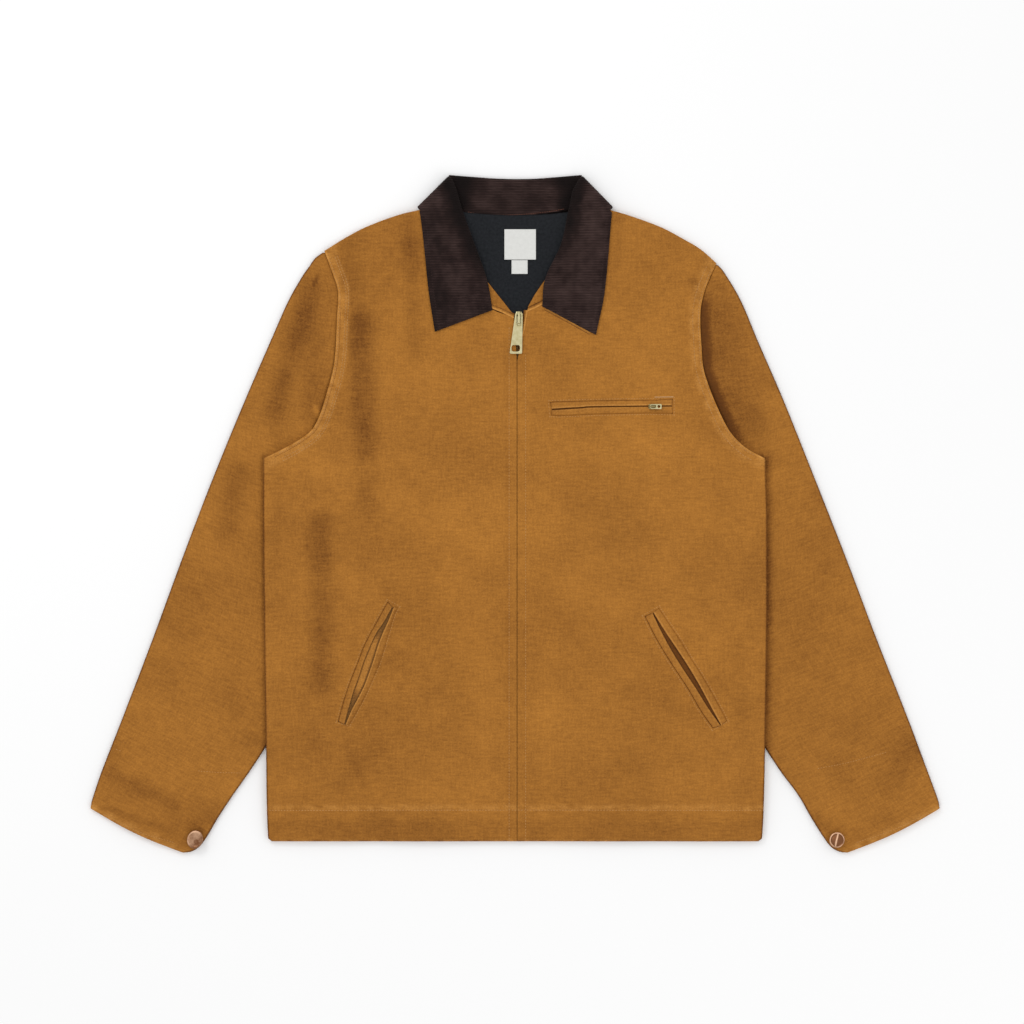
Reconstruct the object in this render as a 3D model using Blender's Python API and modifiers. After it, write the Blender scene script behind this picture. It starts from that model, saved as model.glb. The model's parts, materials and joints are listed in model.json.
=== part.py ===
"""A zip-front canvas field jacket with a corduroy collar, laid flat on its back, at full size.

The garment lies on the plane z = 0 with its hem towards -Y and its front facing up. Lengths in
the tables are millimetres: x from the middle of the chest, y from the middle of the garment's
height, z from the surface that it lies on. "left" and "right" are as seen from above.
"""

import math
from collections import namedtuple

import bmesh
import bpy
from mathutils import Matrix, Vector
from mathutils.bvhtree import BVHTree

MM = 0.001

# Cloth
WALL = 1.8  # duck canvas with its lining
COLLAR_WALL = 2.2  # two plies of corduroy and the interlining
THIN_WALL = 1.0  # lining, tapes, welts and labels
SEAM = 0.3  # gap between pieces that are sewn together
ARMHOLE_SEAM = 0.6
EDGE_SPACE = 0.8  # between front and back at the side folds
CROWN = 2.4  # how much more space there is in the middle
FOLD_RADIUS = WALL + EDGE_SPACE / 2
SLEEVE_LIFT = 2 * WALL + EDGE_SPACE + 0.5  # the body where it lies over a sleeve
COLLAR_LIFT = COLLAR_WALL + 0.6  # the back where it lies over the collar

# Where the body rises over what lies beneath it: each pair is where a ramp starts and where it ends
SLEEVE_RAMP_IN = (110, 8)  # inwards from the sleeve's underarm fold
SLEEVE_RAMP_HEM = (-392, -290)  # y, near the hem
SLEEVE_RAMP_ARMPIT = (114, 172)  # y, at the armpit
COLLAR_RAMP_Y = (236, 280)
COLLAR_RAMP_X = (116, 165)
UNDER_BODY_X = (286, 335)  # a sleeve is flatter where the body lies on it
UNDER_BODY_Y = (112, 172)

# Rows and columns of the cloth grids
ROUNDING = (90, 76, 48, 21, 0)  # degrees round a folded edge, from its outermost line
TUBE_ROUNDING = (90, 52, 24, 0)
FOLD_SEAM = 0.42  # half the gap where two rounded edges meet at a fold
SEAM_END_TURN = 0.65  # how far the edge is turned round where a side or shoulder seam ends
FLAT_SPREAD = 1.8  # how the same columns spread out where the edge is flat
COLUMNS = (0.0, 0.2, 0.4, 0.5, 0.58, 0.66, 0.74, 0.82, 0.9)  # from the middle to a side
SIDE_ROWS = (0, 0.0131, 0.12, 0.24, 0.38, 0.52, 0.66, 0.8, 0.88, 0.94, 1)
ARMHOLE_ROWS = (0.08, 0.16, 0.25, 0.38, 0.52, 0.66, 0.8, 0.91)
SHOULDER_ROWS = (0, 0.25, 0.5, 0.75, 1)
SLEEVE_CAP_ROWS = (0.975, 0.91, 0.8, 0.66, 0.52, 0.38, 0.25)  # where the sleeve meets the armhole
SLEEVE_COLUMNS = (0.12, 0.3, 0.5, 0.7, 0.88)
UNDERARM_ROWS = (0.05, 0.15, 0.26, 0.37, 0.48, 0.58, 0.68, 0.78, 0.87, 0.94, 1)

Row = namedtuple("Row", "x y")

HEM_Y = -367
CLOSING_X = 2.2  # the line on which the two fronts meet
ZIP_TOP_Y = 205

# Side edges of the body from hem to armpit, armholes from armpit to shoulder tip, and
# shoulder lines from tip to neck
SIDE = {
    "left": [Row(-273, HEM_Y), Row(-277, HEM_Y + 4), Row(-279, -262), Row(-281, -120), Row(-282, 0),
             Row(-282, 62)],
    "right": [Row(273, HEM_Y), Row(277, HEM_Y + 4), Row(280, -262), Row(282, -120), Row(282, 0),
              Row(280, 62)],
}
ARMHOLE = {
    "left": [Row(-282, 62), Row(-247, 80), Row(-225, 98), Row(-208, 146), Row(-202, 177),
             Row(-200, 218), Row(-199, 251), Row(-206, 273), Row(-214, 295)],
    "right": [Row(280, 62), Row(256, 76), Row(237, 98), Row(213, 156), Row(209, 190),
              Row(208, 227), Row(212, 248), Row(218, 264), Row(226, 281)],
}
SHOULDER = {
    "left": [Row(-214, 295), Row(-190, 312), Row(-166, 325), Row(-130, 337.5), Row(-103, 342)],
    "right": [Row(226, 281), Row(208, 298), Row(186, 312), Row(162, 325), Row(125, 337.5),
              Row(103, 342)],
}
# Inner edges of the fronts: the closing line with its parted top, then the neck
CLOSING = {
    "left": [Row(CLOSING_X - SEAM / 2, HEM_Y), Row(CLOSING_X - SEAM / 2, 170), Row(-1, 220)],
    "right": [Row(CLOSING_X + SEAM / 2, HEM_Y), Row(CLOSING_X + SEAM / 2, 172), Row(9, 203),
              Row(14, 228)],
}
NECK = {
    "left": [Row(-1, 220), Row(-31, 233), Row(-46, 260), Row(-62, 300), Row(-78, 333), Row(-90, 341)],
    "right": [Row(14, 228), Row(32, 236), Row(48, 262), Row(66, 302), Row(80, 333), Row(90, 341)],
}
# Sleeves: the overarm fold from shoulder tip to cuff, and the underarm fold, which starts at the
# foot of the sleeve cap and passes under the body
OVERARM = {
    "left": [Row(-214, 295), Row(-230, 285), Row(-238, 271), Row(-255, 240), Row(-275, 195),
             Row(-303, 128), Row(-340, 38), Row(-374, -51), Row(-407, -141), Row(-441, -230),
             Row(-464, -289), Row(-477, -329)],
    "right": [Row(226, 281), Row(234, 272), Row(253, 240), Row(272, 195), Row(301, 128),
              Row(337, 38), Row(372, -51), Row(406, -141), Row(441, -230), Row(463, -289),
              Row(477, -329)],
}
UNDERARM = {
    "left": [Row(-224, 92), Row(-222, 40), Row(-222, -40), Row(-225, -110), Row(-235, -170),
             Row(-255, -215), Row(-278, -258), Row(-298, -289), Row(-317, -316), Row(-334, -342),
             Row(-347, -365), Row(-356, -375), Row(-366, -379)],
    "right": [Row(232, 96), Row(226, 40), Row(224, -40), Row(226, -110), Row(235, -170),
              Row(255, -215), Row(278, -258), Row(298, -289), Row(318, -316), Row(333, -342),
              Row(347, -365), Row(356, -375), Row(366, -379)],
}
SLEEVE_CROWN = 2.2  # how much fuller a sleeve is in its middle
SWELL_SECTIONS = 9  # sections from the cap over which a sleeve fills out
CUFF_SECTIONS = 4  # sections over which it flattens to the cuff
CUFF_BOW = 3.5  # how far the cuff's edge bows out beyond a straight line

# Soft troughs pressed into the top of a sleeve or a front: a line, its half width and depth
Trough = namedtuple("Trough", "piece start end half_width depth")
TROUGHS = [
    Trough("sleeve_left", Row(-238, 250), Row(-262, 120), 22, 0.9),
    Trough("sleeve_left", Row(-292, -238), Row(-262, -205), 14, 0.6),
    Trough("sleeve_right", Row(226, 240), Row(246, 108), 18, 0.9),
    Trough("sleeve_right", Row(330, -180), Row(300, -120), 20, 0.5),
    Trough("front_left", Row(-228, 140), Row(-214, 110), 14, 0.5),
    Trough("front_right", Row(205, 262), Row(228, 250), 10, 0.5),
]

# The collar leaf, from one front end round the back to the other: the roll line and the outer
# edge at each station of one half
Leaf = namedtuple("Leaf", "roll_x roll_y edge_x edge_y")
LEAF_FRONT = {
    "left": [Leaf(-26, 228, -90, 204), Leaf(-32, 262, -97, 250), Leaf(-46, 302, -101, 290),
             Leaf(-59, 338, -105, 326), Leaf(-66, 362, -107, 339)],
    "right": [Leaf(31, 232, 90, 202), Leaf(34, 262, 98, 243), Leaf(52, 302, 103, 288),
              Leaf(60, 338, 106, 322), Leaf(65, 362, 107.5, 337)],
}
LEAF_FOLD = {"left": Leaf(-75, 378.64, -110, 344), "right": Leaf(76, 378.64, 110, 344)}
LEAF_BACK = [Leaf(-60, 377.5, -82, 318), Leaf(-34, 376, -44, 300), Leaf(0, 375, 0, 292),
             Leaf(34, 376, 44, 300), Leaf(60, 377.5, 82, 318)]
LEAF_COLUMNS = (0.06, 0.25, 0.5, 0.75, 1)
TURN_ANGLES = (90, 60, 30, 0, -30, -60, -90)

# The stand inside the back neck: crest and seam
Stand = namedtuple("Stand", "crest_x crest_y seam_x seam_y")
STAND = [Stand(-66, 376, -66, 345), Stand(-44, 375.8, -44, 339), Stand(-16, 374.6, -15, 336),
         Stand(16, 374.6, 15, 337.5), Stand(44, 375.8, 44, 341), Stand(66, 376, 66, 345)]

# The lining that shows in the neck: half widths of its rows, and its top edge follows the seam
Lining = namedtuple("Lining", "left right y_left y_middle y_right")
LINING = [Lining(-34, 42, 203, 203, 203), Lining(-44, 46, 232, 230, 232),
          Lining(-54, 58, 262, 260, 262), Lining(-66, 70, 302, 299, 302),
          Lining(-76, 78, 341, 335, 341)]

# Corners of the front facings that show inside the neck, in order round each
FACING = {
    "left": [Row(-29.5, 236), Row(-2.5, 224.5), Row(-14, 239), Row(-31.5, 261)],
    "right": [Row(14, 231.5), Row(31.5, 240), Row(33, 262), Row(22, 246)],
}
FACING_WALL = 1.6

# Labels: left, right, bottom, top
Label = namedtuple("Label", "left right bottom top")
NECK_LABEL = Label(-12, 23.3, 285, 319)
SIZE_LABEL = Label(-4, 14, 269, 284.5)

# Pockets: the mouth's ends, the width over both welts, and how far the slit gapes in its middle
Pocket = namedtuple("Pocket", "start end width gape")
HAND_POCKETS = {
    "left": Pocket(Row(-136, -101.5), Row(-192.5, -236), 14.6, 3.0),
    "right": Pocket(Row(154, -110), Row(229, -237), 16.0, 2.0),
}
CHEST_POCKET = Pocket(Row(40.5, 118.5), Row(176, 120.5), 18.0, 0.4)
WELT_ROWS = 9

# Zip sliders and their pull tabs
Slider = namedtuple("Slider", "length top_width bottom_width bridge_width plate_height")
FRONT_SLIDER = Slider(16, 8, 5.4, 2.6, 3.2)
CHEST_SLIDER = Slider(8.4, 6, 4.6, 1.6, 1.6)
Pull = namedtuple("Pull", "length top_left top_right bottom_left bottom_right thickness eye_width eye_length")
FRONT_PULL = Pull(46, -4.4, 4.4, -10.3, 3.3, 1.6, 4.6, 12.6)
CHEST_PULL = Pull(13, -2.6, 2.6, -3.0, 3.0, 1.0, 3.0, 6.4)
FRONT_SLIDER_AT = Row(4.2, 224.2)  # the pull's hinge
CHEST_SLIDER_AT = Row(151.5, 120.2)
FRONT_PULL_HOLE = (8.6, 6.6, 3.4)  # across, along, and up from the tab's end

# Cuff buttons
BUTTON_RADIUS = 9.6
BUTTON_HEIGHT = 4.6
BUTTONS = {"left": Row(-358.5, -364.5), "right": Row(360.5, -365)}

# Colours as seen, roughness and metallic
CANVAS = ((0.376, 0.156, 0.031), 0.85, 0.0)
CORDUROY = ((0.024, 0.014, 0.013), 0.9, 0.0)
NAVY = ((0.010, 0.011, 0.014), 0.9, 0.0)
WHITE = ((0.76, 0.75, 0.73), 0.7, 0.0)
TAPE = ((0.30, 0.13, 0.035), 0.8, 0.0)
BRASS = ((0.68, 0.60, 0.32), 0.3, 1.0)
COPPER = ((0.55, 0.29, 0.16), 0.3, 1.0)


def smooth_step(low, high, value):
    t = min(1, max(0, (value - low) / (high - low)))
    return t * t * (3 - 2 * t)


def mix(a, b, t):
    return a + (b - a) * t


class Path:
    """A smooth plane curve through a table's rows, read by the share of its length."""

    STEPS = 12

    def __init__(self, rows, smooth=True):
        knots = [Vector((row.x, row.y)) for row in rows]
        ends = [2 * knots[0] - knots[1]] + knots + [2 * knots[-1] - knots[-2]]
        self.points = [knots[0]]
        for before, start, end, after in zip(ends, ends[1:], ends[2:], ends[3:]):
            reach = (end - start).length
            leave = ((end - before).normalized() if smooth else (end - start).normalized()) * reach
            arrive = ((after - start).normalized() if smooth else (end - start).normalized()) * reach
            for step in range(1, self.STEPS + 1):
                t = step / self.STEPS
                self.points.append(
                    start * (2 * t**3 - 3 * t**2 + 1) + leave * (t**3 - 2 * t**2 + t)
                    + end * (3 * t**2 - 2 * t**3) + arrive * (t**3 - t**2)
                )
        self.lengths = [0]
        for start, end in zip(self.points, self.points[1:]):
            self.lengths.append(self.lengths[-1] + (end - start).length)

    def at(self, share):
        target = min(1, max(0, share)) * self.lengths[-1]
        index = 1
        while index < len(self.lengths) - 1 and self.lengths[index] < target:
            index += 1
        span = self.lengths[index] - self.lengths[index - 1]
        return self.points[index - 1].lerp(self.points[index], (target - self.lengths[index - 1]) / span)


def half_width(y, side):
    """How far the body's outline lies from the middle at a height y."""
    outline = SIDE[side] + ARMHOLE[side][1:] + SHOULDER[side][1:]
    for low, high in zip(outline, outline[1:]):
        if low.y <= y <= high.y:
            return abs(mix(low.x, high.x, (y - low.y) / (high.y - low.y)))
    return abs(outline[0].x if y < outline[0].y else outline[-1].x)


def lift(x, y):
    """Height of the back's outer face: over the sleeves at the sides, over the collar at the neck."""
    side = "left" if x < 0 else "right"
    inner_fold = min(abs(row.x) for row in UNDERARM[side])
    start, end = (inner_fold - inset for inset in SLEEVE_RAMP_IN)
    across = smooth_step(start, end, abs(x))
    along = smooth_step(*SLEEVE_RAMP_HEM, y) * (1 - smooth_step(*SLEEVE_RAMP_ARMPIT, y))
    over_sleeve = SLEEVE_LIFT * across * along
    over_collar = COLLAR_LIFT * smooth_step(*COLLAR_RAMP_Y, y) * (1 - smooth_step(*COLLAR_RAMP_X, abs(x)))
    return max(over_sleeve, over_collar)


def space(x, y):
    """Room between the inner faces of the front and the back."""
    side = "left" if x < 0 else "right"
    outline = half_width(min(y, 336), side)
    across = 1 - min(1, abs(x) / outline) ** 3
    along = mix(0.5, 1, smooth_step(HEM_Y, -290, y))
    return EDGE_SPACE + CROWN * across * along


def trough_depth(piece, x, y):
    """How far the troughs of a piece press its top down at a point."""
    depth = 0
    for trough in TROUGHS:
        if trough.piece != piece:
            continue
        start = Vector(trough.start)
        along = Vector(trough.end) - start
        offset = Vector((x, y)) - start
        share = offset.dot(along) / along.length_squared
        distance = (offset - along * share).length
        ends = smooth_step(-0.25, 0.15, share) * (1 - smooth_step(0.85, 1.25, share))
        depth = max(depth, trough.depth * ends * (1 - smooth_step(0, trough.half_width, distance)))
    return depth


def front_top(x, y):
    """Height of the front's outer face."""
    piece = "front_left" if x < CLOSING_X else "front_right"
    return lift(x, y) + 2 * WALL + space(x, y) - trough_depth(piece, x, y)


def new_material(name, finish):
    colour, roughness, metallic = finish
    material = bpy.data.materials.new(name)
    material.use_nodes = True
    shader = material.node_tree.nodes["Principled BSDF"]
    shader.inputs["Base Color"].default_value = (*colour, 1)
    shader.inputs["Roughness"].default_value = roughness
    shader.inputs["Metallic"].default_value = metallic
    material.diffuse_color = (*colour, 1)
    return material


def add_object(name, data, finish):
    piece = bpy.data.objects.new(name, data)
    piece.data.materials.append(new_material(name, finish))
    garment.objects.link(piece)
    return piece


def grid_mesh(name, rows):
    """A surface through rows of points in millimetres."""
    width = len(rows[0])
    points = [Vector(point) * MM for row in rows for point in row]
    faces = []
    for first in range(0, (len(rows) - 1) * width, width):
        for corner in range(first, first + width - 1):
            faces.append((corner, corner + 1, corner + width + 1, corner + width))
    mesh = bpy.data.meshes.new(name)
    mesh.from_pydata(points, [], faces)
    mesh.shade_smooth()
    return mesh


def add_wall(piece, thickness, side):
    """Gives a surface its wall: side -1 puts it behind the faces, 0 on both sides of them."""
    wall = piece.modifiers.new("wall", "SOLIDIFY")
    wall.thickness = thickness * MM
    wall.offset = side
    wall.use_even_offset = True
    wall.use_quality_normals = True


def cloth(name, rows, thickness, finish, outwards=(0, 0, 1)):
    """Cloth whose outer face passes through the rows and whose wall lies behind it."""
    mesh = grid_mesh(name, rows)
    total = sum((polygon.normal * polygon.area for polygon in mesh.polygons), Vector())
    if total.dot(Vector(outwards)) < 0:
        mesh.flip_normals()
    piece = add_object(name, mesh, finish)
    add_wall(piece, thickness, -1)
    return piece


def edge_profile(turned):
    """Insets and drops of the columns along a panel's edge, from its outermost line inwards.
    The columns lie wider apart where the edge isn't turned."""
    if not turned:
        last = len(ROUNDING) - 1
        return [(FOLD_RADIUS * (index / last) ** FLAT_SPREAD, 0) for index in range(last + 1)]
    turns = [math.radians(angle) for angle in ROUNDING]
    depth = (FOLD_RADIUS - FOLD_SEAM) * turned
    return [(FOLD_RADIUS * (1 - math.sin(turn)), depth * (1 - math.cos(turn))) for turn in turns]


def rounded_columns(inner, outer, turned):
    """Places across half a panel, as (point, drop): straight from inner towards outer, then round
    the edge as far as it is turned."""
    across = outer - inner
    reach = across.length
    places = [(inner + across * share * (1 - FOLD_RADIUS / reach), 0) for share in COLUMNS]
    for inset, drop in reversed(edge_profile(turned)):
        places.append((outer - across * (inset / reach), drop))
    return places


def body_edge(side):
    """Rows of the body's outline from hem to neck: the point and how far its edge is turned round.
    The armhole between the side and the shoulder is open."""
    outline, armhole, shoulder = Path(SIDE[side]), Path(ARMHOLE[side]), Path(SHOULDER[side])
    rows = [(outline.at(share), 1 if share < 1 else SEAM_END_TURN) for share in SIDE_ROWS]
    rows += [(armhole.at(share), 0) for share in ARMHOLE_ROWS]
    rows += [(shoulder.at(share), 1 if share > 0 else SEAM_END_TURN) for share in SHOULDER_ROWS]
    return rows


def inner_edge(side):
    """The front's inner edge for the same rows: the closing line, then the neck."""
    outline = body_edge(side)
    closing = Path(CLOSING[side], smooth=False)
    neck = Path(NECK[side])
    lower = len(SIDE_ROWS) + len(ARMHOLE_ROWS) - 2
    points = [closing.at(share) for share in
              [(y.y - HEM_Y) / (280 - HEM_Y) for y, _ in outline[:lower]]]
    remaining = len(outline) - lower
    return points + [closing.at(1) if step == 0 else neck.at(step / (remaining - 1))
                     for step in range(remaining)]


def make_front(side):
    name = f"front_{side}"
    rows = []
    for (outer, turned), inner in zip(body_edge(side), inner_edge(side)):
        row = []
        for place, drop in rounded_columns(inner, outer, turned):
            row.append((place.x, place.y, front_top(place.x, place.y) - drop))
        rows.append(row)
    cloth(name, rows[::-1], WALL, CANVAS)


def make_back():
    """One panel across both halves, lying on the surface, turned up to the side folds."""
    rows = []
    left_rows, right_rows = body_edge("left"), body_edge("right")
    for index, ((left, turned), (right, _)) in enumerate(zip(left_rows, right_rows)):
        middle = Vector((0, (left.y + right.y) / 2))
        neck_share = smooth_step(len(left_rows) - 5, len(left_rows) - 1, index)
        middle.y -= 10.5 * neck_share
        row = []
        for places in (reversed(rounded_columns(middle, left, turned)),
                       rounded_columns(middle, right, turned)[1:]):
            for place, drop in places:
                row.append((place.x, place.y, lift(place.x, place.y) + drop))
        rows.append(row)
    cloth("back_panel", rows, WALL, CANVAS, outwards=(0, 0, -1))


def make_sleeve(side):
    """A flattened sleeve: from the seam at its inner edge over the top, round the overarm fold and
    back beneath. Below the cap its two long edges meet in the underarm seam, under the body."""
    name = f"sleeve_{side}"
    outward = -1 if side == "left" else 1
    overarm, underarm, armhole = Path(OVERARM[side]), Path(UNDERARM[side]), Path(ARMHOLE[side])

    def seam_point(share):
        """A point of the armhole seam, moved out of the body by the seam's gap."""
        along = (armhole.at(share + 0.01) - armhole.at(share - 0.01)).normalized()
        return armhole.at(share) + Vector((-along.y, along.x)) * (-outward * ARMHOLE_SEAM)

    cap = 1 - SLEEVE_CAP_ROWS[-1]
    cap_end = cap * armhole.lengths[-1] / overarm.lengths[-1]
    sections = [(overarm.at((1 - share) / cap * cap_end), seam_point(share), 0)
                for share in SLEEVE_CAP_ROWS]
    sections += [(overarm.at(mix(cap_end, 1, share)), underarm.at(share), 1 if index else SEAM_END_TURN)
                 for index, share in enumerate(UNDERARM_ROWS)]
    last = len(sections) - 1

    rows = []
    for index, (outer, inner, turned) in enumerate(sections):
        across = inner - outer
        width = across.length
        to_hand = Vector((across.y, -across.x)).normalized() * -outward
        bow = CUFF_BOW * smooth_step(last - 2, last, index)
        swell = mix(0.35, 1, smooth_step(0, SWELL_SECTIONS, index))
        swell *= mix(1, 0.4, smooth_step(last - CUFF_SECTIONS, last, index))
        columns = []
        for angle in TUBE_ROUNDING:
            turn = math.radians(angle)
            columns.append((FOLD_RADIUS * (1 - math.sin(turn)) / width, FOLD_RADIUS * (1 - math.cos(turn))))
        columns += [(mix(columns[-1][0], 1 - FOLD_RADIUS / width, share), 0) for share in SLEEVE_COLUMNS]
        columns += [(1 - inset / width, drop) for inset, drop in reversed(edge_profile(turned))]
        upper, lower = [], []
        for share, drop in columns:
            arch = math.sin(math.pi * share)
            place = outer + across * share + to_hand * (bow * arch)
            beside = 1 - smooth_step(*UNDER_BODY_X, abs(place.x))
            under_body = beside * (1 - smooth_step(*UNDER_BODY_Y, place.y))
            fullness = SLEEVE_CROWN * arch**0.8 * swell * (1 - under_body)
            top = 2 * WALL + EDGE_SPACE + fullness - trough_depth(name, place.x, place.y)
            upper.append((place.x, place.y, top - drop))
            lower.append((place.x, place.y, drop))
        rows.append(upper[:0:-1] + [upper[0]] + lower[1:])
    mesh = grid_mesh(name, rows)
    if mesh.polygons[len(SLEEVE_COLUMNS)].normal.z < 0:
        mesh.flip_normals()
    add_wall(add_object(name, mesh, CANVAS), WALL, -1)


def surface_of(*names):
    """The finished faces of pieces, to lay others on."""
    bpy.context.view_layer.update()
    evaluated = bpy.context.evaluated_depsgraph_get()
    return [BVHTree.FromObject(bpy.data.objects[name], evaluated) for name in names]


def height_on(surfaces, x, y, otherwise):
    """Height of the topmost face under a point, or another height where there is none."""
    for surface in surfaces:
        hit = surface.ray_cast(Vector((x, y, 100)) * MM, Vector((0, 0, -1)))[0]
        if hit is not None:
            return hit.z / MM
    return otherwise


def on_front(x, y):
    return height_on(front_faces, x, y, front_top(x, y))


def on_back(x, y):
    """Height of the back's inner face."""
    return height_on(back_faces, x, y, lift(x, y) + WALL)


def leaf_height(x, y):
    """Middle of the collar leaf's wall where it lies on the front."""
    return on_front(x, y) + 0.5 + COLLAR_WALL / 2


def leaf_row(station, middle_height, radius, shift, level):
    """One row across the leaf. level 1 is on top, -1 beneath; the roll edge turns down or up."""
    roll = Vector((station.roll_x, station.roll_y)) + shift
    edge = Vector((station.edge_x, station.edge_y)) + shift
    across = (edge - roll).normalized()
    lip = COLLAR_WALL / 2 + 0.1
    row = []
    for angle in ROUNDING:
        turn = math.radians(angle)
        place = roll + across * (lip * (1 - math.sin(turn)))
        row.append((place, level * lip * (1 - math.cos(turn))))
    for share in LEAF_COLUMNS:
        row.append((roll.lerp(edge, share), 0))
    points = []
    for place, sink in row:
        height = middle_height(place.x, place.y) + level * radius(place.x, place.y) - sink
        points.append((place.x, place.y, height))
    return points


def make_collar_leaf():
    """The corduroy leaf: on the fronts, folded at each side of the neck, and under the back."""
    under = COLLAR_WALL / 2

    def middle(x, y):
        return (leaf_height(x, y) + under) / 2

    def half(x, y):
        return (leaf_height(x, y) - under) / 2

    def front_rows(side):
        table = LEAF_FRONT[side]
        rolls = Path([Row(row.roll_x, row.roll_y) for row in table])
        edges = Path([Row(row.edge_x, row.edge_y) for row in table])
        count = 8
        stations = []
        for step in range(count + 1):
            share = step / count
            stations.append(Leaf(*rolls.at(share), *edges.at(share)))
        return [leaf_row(station, middle, half, Vector((0, 0)), 1) for station in stations]

    def turn_rows(side):
        fold = LEAF_FOLD[side]
        along = Vector((fold.edge_x - fold.roll_x, fold.edge_y - fold.roll_y)).normalized()
        inward = Vector((-along.y, along.x))
        if inward.x * fold.roll_x > 0:
            inward = -inward
        rows = []
        for angle in TURN_ANGLES:
            turn = math.radians(angle)
            centre = Vector(((fold.roll_x + fold.edge_x) / 2, (fold.roll_y + fold.edge_y) / 2))
            radius = half(centre.x, centre.y)
            shift = inward * radius * (1 - math.cos(turn))
            level = math.sin(turn)
            rows.append(leaf_row(fold, middle, half, shift + inward * under, level))
        return rows

    left, right = front_rows("left"), front_rows("right")
    back_path_rolls = Path([Row(row.roll_x, row.roll_y) for row in LEAF_BACK])
    back_path_edges = Path([Row(row.edge_x, row.edge_y) for row in LEAF_BACK])
    back = []
    for step in range(9):
        station = Leaf(*back_path_rolls.at(step / 8), *back_path_edges.at(step / 8))
        back.append(leaf_row(station, middle, half, Vector((0, 0)), -1))
    rows = left + turn_rows("left") + back + list(reversed(turn_rows("right"))) + list(reversed(right))
    mesh = grid_mesh("collar_leaf", rows)
    if mesh.polygons[len(LEAF_COLUMNS) + 2].normal.z < 0:
        mesh.flip_normals()
    leaf = add_object("collar_leaf", mesh, CORDUROY)
    add_wall(leaf, COLLAR_WALL, 0)


def make_collar_stand():
    """The stand inside the back neck, from the seam up to the crest, where it turns down."""
    crest = Path([Row(row.crest_x, row.crest_y) for row in STAND])
    seam = Path([Row(row.seam_x, row.seam_y) for row in STAND])
    level = 2 * COLLAR_WALL + SEAM
    count = 10
    rows = []
    for step in range(count + 1):
        top, bottom = crest.at(step / count), seam.at(step / count)
        across = (bottom - top).normalized()
        row = []
        for angle in ROUNDING:
            turn = math.radians(angle)
            place = top + across * (COLLAR_WALL + 0.1) * (1 - math.sin(turn))
            row.append((place.x, place.y, level - (COLLAR_WALL - 0.2) * (1 - math.cos(turn))))
        for share in (0.35, 0.7, 1):
            place = top.lerp(bottom, share)
            row.append((place.x, place.y, level + 0.5 * smooth_step(0.5, 1, share)))
        rows.append(row)
    cloth("collar_stand", rows, COLLAR_WALL, CORDUROY)


def make_lining():
    rows = []
    for lower, upper in zip(LINING, LINING[1:]):
        for step in range(3):
            share = step / 3
            rows.append(Lining(*(mix(a, b, share) for a, b in zip(lower, upper))))
    rows.append(LINING[-1])
    grid = []
    for row in rows:
        line = []
        for step in range(9):
            share = step / 8
            x = mix(row.left, row.right, share)
            end = mix(row.y_left, row.y_right, share)
            y = end + (row.y_middle - end) * (1 - (2 * share - 1) ** 2)
            line.append((x, y, on_lining(x, y)))
        grid.append(line)
    cloth("neck_lining", grid, THIN_WALL, NAVY)


def lying_patch(name, corners, height, thickness, finish, across=3, along=3):
    """A patch between four corners, in order round it, that follows the face that it lies on."""
    a, b, c, d = (Vector(corner) for corner in corners)
    rows = []
    for i in range(along + 1):
        start, end = a.lerp(d, i / along), b.lerp(c, i / along)
        row = []
        for j in range(across + 1):
            place = start.lerp(end, j / across)
            row.append((place.x, place.y, height(place.x, place.y) + SEAM + thickness))
        rows.append(row)
    return cloth(name, rows, thickness, finish)


def on_lining(x, y):
    return on_back(x, y) + 2 * SEAM + THIN_WALL


def make_labels():
    for name, label in (("neck_label", NECK_LABEL), ("size_label", SIZE_LABEL)):
        corners = ((label.left, label.bottom), (label.right, label.bottom),
                   (label.right, label.top), (label.left, label.top))
        lying_patch(name, corners, on_lining, THIN_WALL, WHITE, across=3, along=4)


def make_facings():
    for side, corners in FACING.items():
        lying_patch(f"facing_{side}", corners, on_lining, FACING_WALL, CANVAS)


def flat_outline(name, outlines, thickness, finish):
    """A flat piece from closed outlines in millimetres; the ones inside the first are its holes."""
    curve = bpy.data.curves.new(name, "CURVE")
    curve.dimensions = "2D"
    curve.fill_mode = "BOTH"
    curve.extrude = thickness / 2 * MM
    for outline in outlines:
        spline = curve.splines.new("POLY")
        spline.points.add(len(outline) - 1)
        spline.use_cyclic_u = True
        for point, (x, y) in zip(spline.points, outline):
            point.co = (x * MM, y * MM, 0, 1)
    return add_object(name, curve, finish)


def make_tapes():
    """The two zip tapes behind the fronts' closing edges."""
    def behind_front(x, y):
        return front_top(x, y) - WALL - 2 * SEAM - THIN_WALL

    for side, sign in (("left", -1), ("right", 1)):
        inner, outer = CLOSING_X + sign * SEAM / 2, CLOSING_X + sign * 14
        corners = ((inner, HEM_Y + 4), (outer, HEM_Y + 4), (outer, ZIP_TOP_Y), (inner, ZIP_TOP_Y))
        lying_patch(f"zip_tape_{side}", corners, behind_front, THIN_WALL, TAPE, across=1, along=16)


def make_welts(name, pocket):
    """The two welts of a pocket mouth, which gape in the middle."""
    start, end = Vector(pocket.start), Vector(pocket.end)
    along = (end - start).normalized()
    across = Vector((-along.y, along.x))
    for label, sign in (("upper", 1), ("lower", -1)):
        rows = []
        for step in range(WELT_ROWS + 1):
            share = step / WELT_ROWS
            gape = 0.35 + pocket.gape / 2 * math.sin(math.pi * share)
            line = start.lerp(end, share)
            row = []
            for reach in (gape, mix(gape, pocket.width / 2, 0.5), pocket.width / 2):
                place = line + across * (sign * reach)
                row.append((place.x, place.y, on_front(place.x, place.y) + SEAM + THIN_WALL))
            rows.append(row)
        cloth(f"{name}_welt_{label}", rows, THIN_WALL, CANVAS)


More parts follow.
